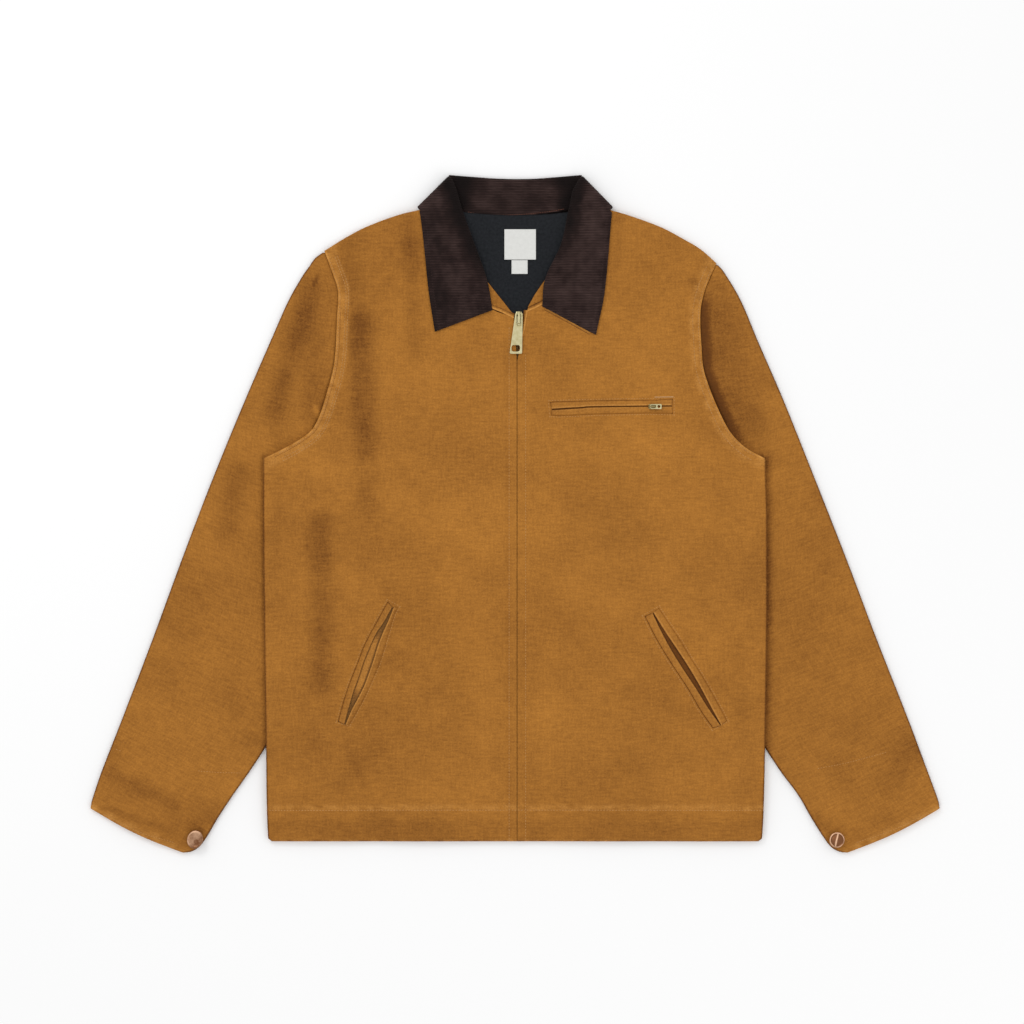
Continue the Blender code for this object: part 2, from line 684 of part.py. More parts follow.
def rounded_box(width, length, radius, centre=(0, 0), steps=3):
    """The outline of a rectangle with round corners."""
    points = []
    for x_sign, y_sign, start in ((1, 1, 0), (-1, 1, 90), (-1, -1, 180), (1, -1, 270)):
        corner_x = centre[0] + x_sign * (width / 2 - radius)
        corner_y = centre[1] + y_sign * (length / 2 - radius)
        for step in range(steps + 1):
            angle = math.radians(start + 90 * step / steps)
            points.append((corner_x + radius * math.cos(angle), corner_y + radius * math.sin(angle)))
    return points


def make_slider(name, slider, pull, place, turn, base):
    """A slider and its pull tab. The tab lies towards local -Y from its hinge, along local X."""
    plate_top = slider.plate_height
    clearance = 0.25
    bar = pull.thickness
    swing = bar * 0.75
    hinge_height = plate_top + clearance + swing
    frame = Matrix.Translation((place.x * MM, place.y * MM, base * MM)) @ Matrix.Rotation(turn, 4, "Z")

    body_end = -(slider.length - swing - 1)
    half_top, half_bottom = slider.top_width / 2, slider.bottom_width / 2
    outline = [(-half_bottom, body_end), (half_bottom, body_end), (half_top, body_end * 0.35),
               (half_top * 0.8, swing + 1.4), (-half_top * 0.8, swing + 1.4), (-half_top, body_end * 0.35)]
    body = flat_outline(name, [outline], plate_top, BRASS)
    body.matrix_world = frame @ Matrix.Translation((0, 0, plate_top / 2 * MM))

    leg = 1.0
    upper, lower = swing + clearance, -(pull.eye_length - leg - 1.4)
    inner_top = hinge_height + swing + clearance
    arch = [(upper + leg, plate_top - 0.4), (upper + leg, inner_top + 0.1), (upper, inner_top + leg),
            (lower, inner_top + leg), (lower - leg, inner_top), (lower - leg, plate_top - 0.4),
            (lower, plate_top - 0.4), (lower, inner_top), (upper, inner_top), (upper, plate_top - 0.4)]
    bridge = flat_outline(f"{name}_bridge", [arch], slider.bridge_width, BRASS)
    stand_up = Matrix.Rotation(math.pi / 2, 4, "Z") @ Matrix.Rotation(math.pi / 2, 4, "X")
    bridge.matrix_world = frame @ stand_up
    unite(body, bridge)

    end_y = -(pull.length - bar / 2)
    head = bar / 2
    tab = [(pull.top_left * 0.8, head), (pull.top_left, head - 1.6), (pull.bottom_left, end_y + 1),
           (pull.bottom_left + 1, end_y), (pull.bottom_right - 1, end_y),
           (pull.bottom_right, end_y + 1), (pull.top_right, head - 1.6), (pull.top_right * 0.8, head)]
    eye = rounded_box(pull.eye_width, pull.eye_length, 0.9, (0, -head - pull.eye_length / 2))
    holes = [eye]
    if name == "zip_slider":
        width, length, margin = FRONT_PULL_HOLE
        middle = (pull.bottom_left + pull.bottom_right) / 2 + 0.3
        holes.append(rounded_box(width, length, 1.6, (middle, end_y + margin + length / 2)))
    tab_name = name.replace("slider", "pull")
    piece = flat_outline(tab_name, [tab] + holes, bar, BRASS)
    piece.matrix_world = frame @ Matrix.Translation((0, 0, hinge_height * MM))


def make_mesh(piece):
    """Turns a curve object into a closed mesh object of the same name and place."""
    evaluated = piece.evaluated_get(bpy.context.evaluated_depsgraph_get())
    mesh = bpy.data.meshes.new_from_object(evaluated)
    shape = bmesh.new()
    shape.from_mesh(mesh)
    bmesh.ops.remove_doubles(shape, verts=shape.verts, dist=1e-6)
    bmesh.ops.recalc_face_normals(shape, faces=shape.faces)
    shape.to_mesh(mesh)
    shape.free()
    name, place = piece.name, piece.matrix_world.copy()
    bpy.data.objects.remove(piece)
    solid = bpy.data.objects.new(name, mesh)
    solid.matrix_world = place
    garment.objects.link(solid)
    return solid


def unite(piece, addition):
    """Joins a second flat piece to the first, as one solid."""
    bpy.context.view_layer.update()
    piece, addition = make_mesh(piece), make_mesh(addition)
    bpy.context.view_layer.update()
    joint = piece.modifiers.new("join", "BOOLEAN")
    joint.operation = "UNION"
    joint.object = addition
    addition.hide_render = True
    addition.display_type = "WIRE"
    garment.objects.unlink(addition)
    cutters.objects.link(addition)


def make_button(side, place):
    """A turned tack button: a dished disc with a raised rim on a shank."""
    radius, height = BUTTON_RADIUS, BUTTON_HEIGHT
    profile = [(0, height - 1.3), (radius * 0.55, height - 1.2), (radius * 0.72, height - 0.35),
               (radius * 0.86, height), (radius * 0.97, height - 0.35), (radius, height - 1.1),
               (radius * 0.96, height - 1.8), (radius * 0.82, height - 2.1), (radius * 0.34, height - 2.4),
               (radius * 0.3, 0.5), (radius * 0.4, 0.25), (radius * 0.4, 0), (0, 0)]
    mesh = bpy.data.meshes.new(f"cuff_button_{side}")
    mesh.from_pydata([(x * MM, 0, z * MM) for x, z in profile], [(i, i + 1) for i in range(len(profile) - 1)], [])
    button = add_object(f"cuff_button_{side}", mesh, COPPER)
    turn = button.modifiers.new("turn", "SCREW")
    turn.steps = 16
    turn.render_steps = 16
    turn.use_merge_vertices = True
    turn.merge_threshold = 0.00001
    turn.use_smooth_shade = True
    top = 2 * WALL + EDGE_SPACE + 0.9
    button.location = (place.x * MM, place.y * MM, top * MM)


for old in list(bpy.data.objects):
    bpy.data.objects.remove(old)
garment = bpy.data.collections.new("hunting_jacket")
cutters = bpy.data.collections.new("joined_shapes")
bpy.context.scene.collection.children.link(garment)
bpy.context.scene.collection.children.link(cutters)

make_back()
back_faces = surface_of("back_panel")
for side_name in ("left", "right"):
    make_sleeve(side_name)
    make_front(side_name)
front_faces = surface_of("front_left", "front_right")
for side_name in ("left", "right"):
    make_welts(f"hand_pocket_{side_name}", HAND_POCKETS[side_name])
    make_button(side_name, BUTTONS[side_name])
make_lining()
make_labels()
make_facings()
make_tapes()
make_collar_leaf()
make_collar_stand()
make_welts("chest_pocket", CHEST_POCKET)
make_slider("zip_slider", FRONT_SLIDER, FRONT_PULL, FRONT_SLIDER_AT, 0, on_lining(*FRONT_SLIDER_AT) + SEAM)
chest_base = on_front(*CHEST_SLIDER_AT) + 3 * SEAM + THIN_WALL
make_slider("chest_slider", CHEST_SLIDER, CHEST_PULL, CHEST_SLIDER_AT, math.pi / 2, chest_base)
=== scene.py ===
# A zip-front canvas jacket with a corduroy collar, laid flat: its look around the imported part
# Lengths are millimetres until a mesh is made, as in the part's own tables

import json
import math

import bmesh
import bpy
import numpy as np
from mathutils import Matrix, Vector
from mathutils.bvhtree import BVHTree
from mathutils.kdtree import KDTree

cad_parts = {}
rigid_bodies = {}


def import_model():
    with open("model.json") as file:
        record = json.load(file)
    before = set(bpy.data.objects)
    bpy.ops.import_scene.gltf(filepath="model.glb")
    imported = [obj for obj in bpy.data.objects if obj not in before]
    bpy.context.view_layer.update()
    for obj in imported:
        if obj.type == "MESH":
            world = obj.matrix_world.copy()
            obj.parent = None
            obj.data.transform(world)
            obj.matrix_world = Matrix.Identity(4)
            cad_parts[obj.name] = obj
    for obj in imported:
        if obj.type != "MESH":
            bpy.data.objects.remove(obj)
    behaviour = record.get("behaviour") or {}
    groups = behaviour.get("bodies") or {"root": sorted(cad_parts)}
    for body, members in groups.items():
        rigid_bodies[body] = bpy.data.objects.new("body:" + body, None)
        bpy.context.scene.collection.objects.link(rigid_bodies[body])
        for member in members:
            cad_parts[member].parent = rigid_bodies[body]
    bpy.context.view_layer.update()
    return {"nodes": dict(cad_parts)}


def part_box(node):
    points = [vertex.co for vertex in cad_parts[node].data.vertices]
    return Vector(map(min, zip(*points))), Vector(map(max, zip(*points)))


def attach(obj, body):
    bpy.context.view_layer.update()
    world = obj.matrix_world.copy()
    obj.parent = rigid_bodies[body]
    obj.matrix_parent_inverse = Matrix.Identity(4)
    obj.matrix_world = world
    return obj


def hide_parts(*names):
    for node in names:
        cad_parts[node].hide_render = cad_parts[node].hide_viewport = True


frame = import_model()
print("frame loaded")

mm = 0.001
cloth = {
    "wall": 1.8, "collarWall": 2.2, "thinWall": 1.0, "seam": 0.3, "edgeSpace": 0.8, "crown": 2.4,
    "foldRadius": 2.2, "foldSeam": 0.42, "sleeveLift": 4.9, "collarLift": 2.8,
}
body = {
    "hemY": -367, "closingX": 2.2,
    "sideLeft": [(-273, -367), (-277, -363), (-279, -262), (-281, -120), (-282, 0), (-282, 62)],
    "sideRight": [(273, -367), (277, -363), (280, -262), (282, -120), (282, 0), (280, 62)],
    "armholeLeft": [(-282, 62), (-247, 80), (-225, 98), (-208, 146), (-202, 177), (-200, 218),
                    (-199, 251), (-206, 273), (-214, 295)],
    "armholeRight": [(280, 62), (256, 76), (237, 98), (213, 156), (209, 190), (208, 227), (212, 248),
                     (218, 264), (226, 281)],
    "shoulderLeft": [(-214, 295), (-192, 309), (-166, 322.5), (-130, 335.5), (-103, 341.5)],
    "shoulderRight": [(226, 281), (208, 297), (186, 310), (162, 322.5), (125, 335.5), (103, 341.5)],
    "closingLeft": [(2.05, -367), (2.05, 170), (-1, 220)],
    "closingRight": [(2.35, -367), (2.35, 172), (9, 203), (14, 228)],
    "neckLeft": [(-1, 220), (-31, 233), (-46, 260), (-62, 300), (-78, 333), (-90, 341)],
    "neckRight": [(14, 228), (32, 236), (48, 262), (66, 302), (80, 333), (90, 341)],
}


# numbers on arrays of places

def smoothStep(low, high, value):
    t = np.clip((value - low) / (high - low), 0, 1)
    return t * t * (3 - 2 * t)


def mix(a, b, t):
    return a + (b - a) * t


def smoothCurve(rows, smooth=True, steps=12):  # a curve through a table's rows, as close points
    knots = np.array(rows, float)
    ends = np.vstack([2 * knots[0] - knots[1], knots, 2 * knots[-1] - knots[-2]])
    points = [knots[0]]
    for before, start, end, after in zip(ends, ends[1:], ends[2:], ends[3:]):
        reach = np.linalg.norm(end - start)
        leave = (end - before if smooth else end - start)
        arrive = (after - start if smooth else end - start)
        leave, arrive = (v / np.linalg.norm(v) * reach for v in (leave, arrive))
        for step in range(1, steps + 1):
            t = step / steps
            points.append(start * (2 * t**3 - 3 * t**2 + 1) + leave * (t**3 - 2 * t**2 + t)
                          + end * (3 * t**2 - 2 * t**3) + arrive * (t**3 - t**2))
    return np.array(points)


def curveLengths(points):
    return np.r_[0, np.cumsum(np.linalg.norm(np.diff(points, axis=0), axis=1))]


def onCurve(points, shares):
    lengths = curveLengths(points)
    target = np.clip(shares, 0, 1) * lengths[-1]
    return np.column_stack([np.interp(target, lengths, points[:, k]) for k in range(points.shape[1])])


def offsetCurve(points, distance):  # moved to the left of its direction
    along = np.gradient(points, axis=0)
    along /= np.linalg.norm(along, axis=1)[:, None]
    return points + np.column_stack([-along[:, 1], along[:, 0]]) * distance


def nearLine(line, x, y):  # distance to a line, positive on its left, and the length along it
    best = np.full(np.shape(x), 1e9)
    side, along = np.ones_like(best), np.zeros_like(best)
    run = 0
    for (ax, ay), (bx, by) in zip(line[:-1], line[1:]):
        dx, dy = bx - ax, by - ay
        length = math.hypot(dx, dy)
        t = np.clip(((x - ax) * dx + (y - ay) * dy) / length**2, 0, 1)
        gapX, gapY = x - ax - t * dx, y - ay - t * dy
        distance = np.hypot(gapX, gapY)
        closer = distance < best
        best = np.where(closer, distance, best)
        side = np.where(closer, np.where(dx * gapY - dy * gapX < 0, -1, 1), side)
        along = np.where(closer, run + t * length, along)
        run += length
    return best * side, along


# how many sines a soft field adds up, how high they reach together, and the largest shift of one
field = {"waves": 22, "height": 3.3, "phase": 6.3}


def softField(x, y, size, seed):  # smooth random hills, about 1 high, size mm apart
    draw = np.random.default_rng(seed)
    total = np.zeros(np.shape(x))
    for _ in range(field["waves"]):
        angle = draw.uniform(0, 2 * math.pi)
        wave = size * draw.uniform(0.7, 1.7)
        phase = draw.uniform(0, field["phase"])
        total += np.sin((x * math.cos(angle) + y * math.sin(angle)) * 2 * math.pi / wave + phase)
    return total / field["height"]


def bump(distance, width):  # 1 on a line, smoothly 0 beyond width
    return 1 - smoothStep(0, width, np.abs(distance))


# the cloth's own height

def halfWidth(y, side):
    outline = np.array(body["side" + side] + body["armhole" + side][1:] + body["shoulder" + side][1:])
    return np.abs(np.interp(y, outline[:, 1], outline[:, 0]))


def leftRight(x, left, right):
    return np.where(x < 0, left, right)


def bodyHalf(x, y, top):  # the body's half width on the side of x, as at top above that height
    low = np.minimum(y, top)
    return leftRight(x, halfWidth(low, "Left"), halfWidth(low, "Right"))


def lift(x, y):  # how high the back lies: over the sleeves, and over the collar at the neck
    fold = leftRight(x, 222, 224)
    across = smoothStep(fold - 110, fold - 8, np.abs(x))
    along = smoothStep(body["hemY"] - 25, -290, y) * (1 - smoothStep(114, 172, y))
    overCollar = cloth["collarLift"] * smoothStep(236, 280, y) * (1 - smoothStep(116, 165, np.abs(x)))
    return np.maximum(cloth["sleeveLift"] * across * along, overCollar)


def space(x, y):  # the air between the back and the fronts
    across = 1 - np.minimum(1, np.abs(x) / bodyHalf(x, y, 336)) ** 3
    along = mix(0.5, 1, smoothStep(body["hemY"], -290, y))
    return cloth["edgeSpace"] + cloth["crown"] * across * along


armholeLine = {side: smoothCurve(body["armhole" + side]) for side in ("Left", "Right")}
relief = {
    "hemStitchY": -332, "zipStitchLeft": -6.7, "zipStitchRight": 11.8, "armholeBand": 15,
    # start, end, half width, depth of the soft troughs in each piece
    "troughs": {
        "sleeveLeft": [((-231, 255), (-270, 113), 21, 1.1), ((-292, -238), (-262, -205), 14, 0.6),
                       ((-224, 262), (-214, 205), 9, 0.6), ((-300, -250), (-270, -262), 9, 0.5)],
        "sleeveRight": [((224, 245), (246, 108), 16, 1.3), ((330, -180), (300, -120), 20, 0.5),
                        ((214, 268), (232, 250), 7, 0.6)],
        "frontLeft": [((-228, 140), (-214, 110), 14, 0.5), ((-186, 300), (-178, 200), 12, 0.35)],
        "frontRight": [((205, 262), (228, 250), 10, 0.5)],
    },
}


def troughDepth(piece, x, y):
    depth = np.zeros(np.shape(x))
    for (ax, ay), (bx, by), width, deepest in relief["troughs"][piece]:
        dx, dy = bx - ax, by - ay
        share = ((x - ax) * dx + (y - ay) * dy) / (dx * dx + dy * dy)
        distance = np.hypot(x - ax - share * dx, y - ay - share * dy)
        ends = smoothStep(-0.25, 0.15, share) * (1 - smoothStep(0.85, 1.25, share))
        depth = np.maximum(depth, deepest * ends * (1 - smoothStep(0, width, distance)))
    return depth


def frontRelief(x, y):
    left = x < body["closingX"]
    height = 0.35 * softField(x, y, 120, 3) + 0.12 * softField(x, y, 42, 4)
    height -= np.where(left, troughDepth("frontLeft", x, y), troughDepth("frontRight", x, y))
    # armhole: the seam's turned edge stands up, with sewn rows pressed into it
    for side in ("Left", "Right"):
        distance, along = nearLine(armholeLine[side], x, y)
        distance = np.abs(distance)
        band = 1 - smoothStep(relief["armholeBand"] - 3, relief["armholeBand"] + 4, distance)
        height += 0.9 * band
        for row in (3.0, 9.5, 12.5):
            height -= 0.3 * bump(distance - row, 1.6) * band
        height += 0.16 * band * np.sin(along * 1.1 + 2 * np.sin(along * 0.23)) * bump(distance - 7, 7)
    # hem: doubled cloth under its row of stitches, with small puckers at the row
    hem = y - relief["hemStitchY"]
    height += 0.45 * (1 - smoothStep(-3, 2, hem)) - 0.3 * bump(hem, 2.0)
    height += 0.18 * np.sin(x * 0.75 + 1.7 * np.sin(x * 0.11)) * bump(hem, 8)
    # front edges beside the zip
    for row in (relief["zipStitchLeft"], relief["zipStitchRight"]):
        height -= 0.28 * bump(x - row, 1.8) * (y < 196)
        height += 0.12 * np.sin(y * 0.62 + 1.9 * np.sin(y * 0.07)) * bump(x - row, 7) * (y < 196)
    height += 0.35 * bump(x - body["closingX"], 9) * (y < 200)
    return height


def frontTop(x, y):
    x, y = np.asarray(x, float), np.asarray(y, float)
    return lift(x, y) + 2 * cloth["wall"] + space(x, y) + frontRelief(x, y)


def underFronts(x, y):  # the underside of the fronts
    return lift(x, y) + 2 * cloth["wall"] + space(x, y) - cloth["wall"]


# making meshes

def gridPiece(name, points, uv):
    # points: rows x columns x 3 in millimetres, uv the same in millimetres of flat cloth
    rows, columns = points.shape[:2]
    corner = np.arange(rows * columns).reshape(rows, columns)
    faces = np.stack([corner[:-1, :-1], corner[:-1, 1:], corner[1:, 1:], corner[1:, :-1]], -1).reshape(-1, 4)
    mesh = bpy.data.meshes.new(name)
    mesh.from_pydata((points.reshape(-1, 3) * mm).tolist(), [], faces.tolist())
    layer = mesh.uv_layers.new(name="cloth")
    flat = (uv.reshape(-1, 2) * mm)[faces.reshape(-1)]
    layer.data.foreach_set("uv", flat.astype(np.float32).reshape(-1))
    mesh.shade_smooth()
    return addPiece(name, mesh)


def addPiece(name, mesh):
    piece = bpy.data.objects.new(name, mesh)
    bpy.context.scene.collection.objects.link(piece)
    return piece


def paint(piece, name, values):  # a number for each point, for the materials
    layer = piece.data.attributes.get(name) or piece.data.attributes.new(name, "FLOAT", "POINT")
    layer.data.foreach_set("value", np.asarray(values, np.float32).reshape(-1))


def faceUp(piece, up=(0, 0, 1)):
    total = Vector()
    for polygon in piece.data.polygons:
        total += polygon.normal * polygon.area
    if total.dot(Vector(up)) < 0:
        piece.data.flip_normals()


def addWall(piece, thickness):
    wall = piece.modifiers.new("wall", "SOLIDIFY")
    wall.thickness = thickness * mm
    wall.offset = -1
    wall.use_quality_normals = True
    bake(piece)


def bake(piece):  # turns what the modifiers make into the piece's plain mesh
    shown = bpy.context.evaluated_depsgraph_get()
    bpy.context.view_layer.update()
    mesh = bpy.data.meshes.new_from_object(piece.evaluated_get(shown))
    piece.modifiers.clear()
    old, piece.data = piece.data, mesh
    mesh.name = piece.name


def dress(piece, material, nodes=(), bodyName="jacket"):
    piece.data.materials.clear()
    piece.data.materials.append(material)
    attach(piece, bodyName)
    if nodes:
        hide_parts(*nodes)
    return piece


def put(tree, kind, inputs=None, **settings):  # a node with its settings, values and links
    node = tree.nodes.new(kind)
    for key, value in settings.items():
        setattr(node, key, value)
    for key, value in (inputs or {}).items():
        if isinstance(value, bpy.types.NodeSocket):
            tree.links.new(value, node.inputs[key])
        else:
            node.inputs[key].default_value = value
    return node


def newMaterial(name, roughness, metallic=0.0, specular=0.5, sheen=0.0, sheenTint=(1, 1, 1, 1)):
    material = bpy.data.materials.new(name)
    material.use_nodes = True
    tree = material.node_tree
    shader = tree.nodes["Principled BSDF"]
    shader.inputs["Roughness"].default_value = roughness
    shader.inputs["Metallic"].default_value = metallic
    shader.inputs["Specular IOR Level"].default_value = specular
    shader.inputs["Sheen Weight"].default_value = sheen
    shader.inputs["Sheen Roughness"].default_value = 0.5
    shader.inputs["Sheen Tint"].default_value = sheenTint
    return material, tree, shader


def scaled(tree, vector, x, y):
    return put(tree, "ShaderNodeMapping", {"Vector": vector, "Scale": (x, y, 1)}).outputs["Vector"]


def flatPlace(tree):  # the place on the flat cloth
    return put(tree, "ShaderNodeUVMap", uv_map="cloth").outputs["UV"]


def painted(tree, name):  # the number that paint gives each point
    return put(tree, "ShaderNodeAttribute", attribute_name=name).outputs["Fac"]


def clamped(tree, value):
    return put(tree, "ShaderNodeClamp", {"Value": value}).outputs[0]


def noise(tree, vector, size, detail=3, roughness=0.55):  # size of its blots in metres
    return put(tree, "ShaderNodeTexNoise", {"Vector": vector, "Scale": 1 / size, "Detail": detail,
                                            "Roughness": roughness}).outputs["Fac"]


def calc(tree, operation, a, b=0.0, c=0.0):
    node = put(tree, "ShaderNodeMath", operation=operation)
    for socket, value in zip(node.inputs, (a, b, c)):
        if isinstance(value, bpy.types.NodeSocket):
            tree.links.new(value, socket)
        else:
            socket.default_value = value
    return node.outputs[0]


waveSpan = 0.31416  # metres between the ribs of a wave texture at scale 1


def threads(tree, vector, pitch, direction, wobble=1.2):  # parallel ribs, pitch in metres
    inputs = {"Vector": vector, "Scale": waveSpan / pitch, "Distortion": wobble,
              "Detail": 2, "Detail Scale": 0.4}
    return put(tree, "ShaderNodeTexWave", inputs, bands_direction=direction).outputs["Fac"]


def blendColours(tree, factor, low, high):
    ramp = put(tree, "ShaderNodeMix", {"Factor": factor}, data_type="RGBA")
    for socket, colour in ((ramp.inputs[6], low), (ramp.inputs[7], high)):
        if isinstance(colour, bpy.types.NodeSocket):
            tree.links.new(colour, socket)
        else:
            socket.default_value = (*colour, 1)
    return ramp.outputs[2]


def addBump(tree, shader, height, distance, strength=1.0):
    bumpNode = put(tree, "ShaderNodeBump", {"Height": height, "Distance": distance, "Strength": strength})
    tree.links.new(bumpNode.outputs["Normal"], shader.inputs["Normal"])


# duck canvas: washed tan with darker and paler clouds, slubs both ways and a plain weave, with painted light
# and shade from the number painted on each point
canvasLook = {
    "dark": (0.140, 0.046, 0.0055), "pale": (0.560, 0.232, 0.036), "worn": (0.68, 0.32, 0.075),
    # deep: the near-black brown of painted shadow in slits and gaps
    "deep": (0.028, 0.0085, 0.0018),
    # sizes in metres, then how far each pattern shades the cloth
    "cloud": 0.030, "slub": 0.0045, "grain": 0.0019, "thread": 0.0011,
    "acrossShare": 0.48, "downShare": 0.34, "grainShare": 0.72, "level": 0.34,
}


def canvasMaterial(name, look):
    material, tree, shader = newMaterial(name, 0.9, specular=0.2)
    place = flatPlace(tree)
    tone = painted(tree, "tone")
    worn = painted(tree, "worn")
    cloud = noise(tree, place, look["cloud"], 5, 0.6)
    across = noise(tree, scaled(tree, place, 1, 5), look["slub"] * 3, 3)
    down = noise(tree, scaled(tree, place, 5, 1), look["slub"] * 3, 3)
    grain = noise(tree, place, look["grain"], 3, 0.7)
    weft = threads(tree, place, look["thread"], "Y")
    warp = threads(tree, place, look["thread"], "X")
    total = calc(tree, "MULTIPLY_ADD", cloud, 0.22, calc(tree, "ADD", tone, look["level"]))
    for part, key in ((across, "acrossShare"), (down, "downShare"), (grain, "grainShare")):
        share = look[key]  # of a pattern that is about 0.5 on average
        total = calc(tree, "MULTIPLY_ADD", part, share, calc(tree, "SUBTRACT", total, share / 2))
    weave = calc(tree, "MULTIPLY", weft, warp)
    total = calc(tree, "MULTIPLY_ADD", weave, 0.2, total)
    colour = blendColours(tree, total, look["dark"], look["pale"])
    # painted shade: below zero the colour goes on towards the deep brown
    deep = clamped(tree, calc(tree, "MULTIPLY", total, -1.0))
    colour = blendColours(tree, deep, colour, look["deep"])
    rub = calc(tree, "MULTIPLY", worn, calc(tree, "MULTIPLY_ADD", grain, 1.6, -0.15))
    colour = blendColours(tree, rub, colour, look["worn"])
    tree.links.new(colour, shader.inputs["Base Color"])
    surface = calc(tree, "MULTIPLY_ADD", weave, 0.35, calc(tree, "MULTIPLY_ADD", grain, 0.9, across))
    addBump(tree, shader, surface, 0.00035, 0.8)
    return material


# corduroy: dark brown wales, rubbed paler in clouds and streaks, near black where shade is painted in its
# folds; sizes in metres
corduroyLook = {
    "pile": (0.032, 0.0170, 0.0150), "valley": (0.0065, 0.0040, 0.0038), "rub": (0.090, 0.054, 0.048),
    # fold: the near-black of painted shade in the collar's folds
    "fold": (0.0070, 0.0045, 0.0042),
    "wale": 0.0018, "cloud": 0.02, "streak": 0.011, "hair": 0.0009,
}


def corduroyMaterial(name, look):
    material, tree, shader = newMaterial(name, 0.95, specular=0.1, sheen=0.06, sheenTint=(0.75, 0.55, 0.5, 1))
    place = flatPlace(tree)
    tone = painted(tree, "tone")
    wale = threads(tree, place, look["wale"], "Y", 0.8)
    cloud = noise(tree, place, look["cloud"], 4)
    streak = noise(tree, scaled(tree, place, 1, 9), look["streak"], 3)
    pile = noise(tree, place, look["hair"], 2, 0.7)
    nap = calc(tree, "MULTIPLY_ADD", pile, 0.5, calc(tree, "SUBTRACT", wale, 0.15))
    colour = blendColours(tree, nap, look["valley"], look["pile"])
    rub = calc(tree, "MULTIPLY_ADD", cloud, 1.3, calc(tree, "MULTIPLY_ADD", streak, 1.1, -1.02))
    rub = calc(tree, "MULTIPLY", calc(tree, "ADD", rub, tone), calc(tree, "MULTIPLY_ADD", wale, 0.7, 0.3))
    colour = blendColours(tree, clamped(tree, rub), colour, look["rub"])
    # painted shade: the painted number below zero darkens towards the fold colour
    paintedFoldShade = clamped(tree, calc(tree, "MULTIPLY", tone, -1.8))
    colour = blendColours(tree, paintedFoldShade, colour, look["fold"])
    tree.links.new(colour, shader.inputs["Base Color"])
    addBump(tree, shader, calc(tree, "MULTIPLY_ADD", pile, 0.4, wale), 0.0006, 0.9)
    return material


def plainCloth(name, low, high, size, bumpDepth, roughness=0.9, thread=0.0008, onObject=False):
    # a plain woven or knitted cloth between two colours
    material, tree, shader = newMaterial(name, roughness, specular=0.2)
    place = put(tree, "ShaderNodeTexCoord").outputs["Object"] if onObject else flatPlace(tree)
    blots = noise(tree, place, size, 4, 0.65)
    fine = noise(tree, place, size / 7, 3, 0.7)
    weave = calc(tree, "MULTIPLY", threads(tree, place, thread, "X"), threads(tree, place, thread, "Y"))
    factor = calc(tree, "MULTIPLY_ADD", blots, 0.9, calc(tree, "MULTIPLY_ADD", fine, 0.7, -0.4))
    factor = calc(tree, "MULTIPLY_ADD", weave, 0.2, factor)
    tree.links.new(blendColours(tree, factor, low, high), shader.inputs["Base Color"])
    addBump(tree, shader, calc(tree, "ADD", fine, weave), bumpDepth, 0.8)
    return material


def threadMaterial(name, low, high, roughness=0.8):
    return plainCloth(name, low, high, 0.002, 0.0001, roughness, onObject=True)


def metalMaterial(name, low, high, roughness, size=0.004):  # tumbled brass or copper, rubbed and marked
    material, tree, shader = newMaterial(name, roughness, metallic=1.0)
    place = put(tree, "ShaderNodeTexCoord").outputs["Object"]
    cloud = noise(tree, place, size, 4, 0.6)
    marks = noise(tree, scaled(tree, place, 1, 7), size / 3, 3, 0.7)
    # painted highlights, a painted reflection and painted shade on the buttons come in through the number
    # painted on each point
    tone = painted(tree, "tone")
    factor = calc(tree, "MULTIPLY_ADD", cloud, 1.3, calc(tree, "MULTIPLY_ADD", marks, 0.6, -0.45))
    factor = clamped(tree, calc(tree, "ADD", factor, tone))
    tree.links.new(blendColours(tree, factor, low, high), shader.inputs["Base Color"])
    tree.links.new(calc(tree, "MULTIPLY_ADD", marks, 0.25, roughness - 0.1), shader.inputs["Roughness"])
    addBump(tree, shader, calc(tree, "ADD", cloud, marks), 0.00015, 0.6)
    return material


canvas = canvasMaterial("duckCanvas", canvasLook)
corduroy = corduroyMaterial("fineCorduroy", corduroyLook)
liningCloth = plainCloth("neckLiningCloth", (0.0008, 0.0014, 0.0026), (0.029, 0.032, 0.037), 0.003, 0.0004)
labelCloth = plainCloth("wovenLabel", (0.66, 0.66, 0.63), (0.80, 0.80, 0.77), 0.004, 0.00012, 0.75, 0.0005)
tapeCloth = plainCloth("zipTapeCloth", (0.16, 0.062, 0.014), (0.26, 0.11, 0.03), 0.003, 0.0002)
tanThread = threadMaterial("tanThread", (0.40, 0.19, 0.06), (0.58, 0.32, 0.12), 0.7)
# dark thread for the left armhole's close row: a sewn row that also paints the shade in the seam's groove
seamShadeThread = threadMaterial("seamShadeThread", (0.12, 0.045, 0.012), (0.21, 0.085, 0.025))
darkThread = threadMaterial("brownThread", (0.02, 0.011, 0.010), (0.055, 0.03, 0.026))
russetThread = threadMaterial("russetThread", (0.10, 0.035, 0.02), (0.20, 0.08, 0.05))
whiteThread = threadMaterial("whiteThread", (0.62, 0.62, 0.60), (0.80, 0.80, 0.78), 0.7)
tackThread = threadMaterial("paleTackThread", (0.52, 0.30, 0.14), (0.70, 0.46, 0.24), 0.7)
brass = metalMaterial("paleBrass", (0.44, 0.37, 0.16), (0.78, 0.72, 0.46), 0.32)
# a darker copy of the brass: painted shade for the chest slider under its pull and the zip teeth under the
# fronts
brassInPaintedShade = metalMaterial("shadedBrass", (0.16, 0.12, 0.04), (0.42, 0.34, 0.16), 0.4)
copper = metalMaterial("tumbledCopper", (0.20, 0.085, 0.038), (0.74, 0.46, 0.29), 0.34, 0.006)
print("materials made")


# shared outlines and rows

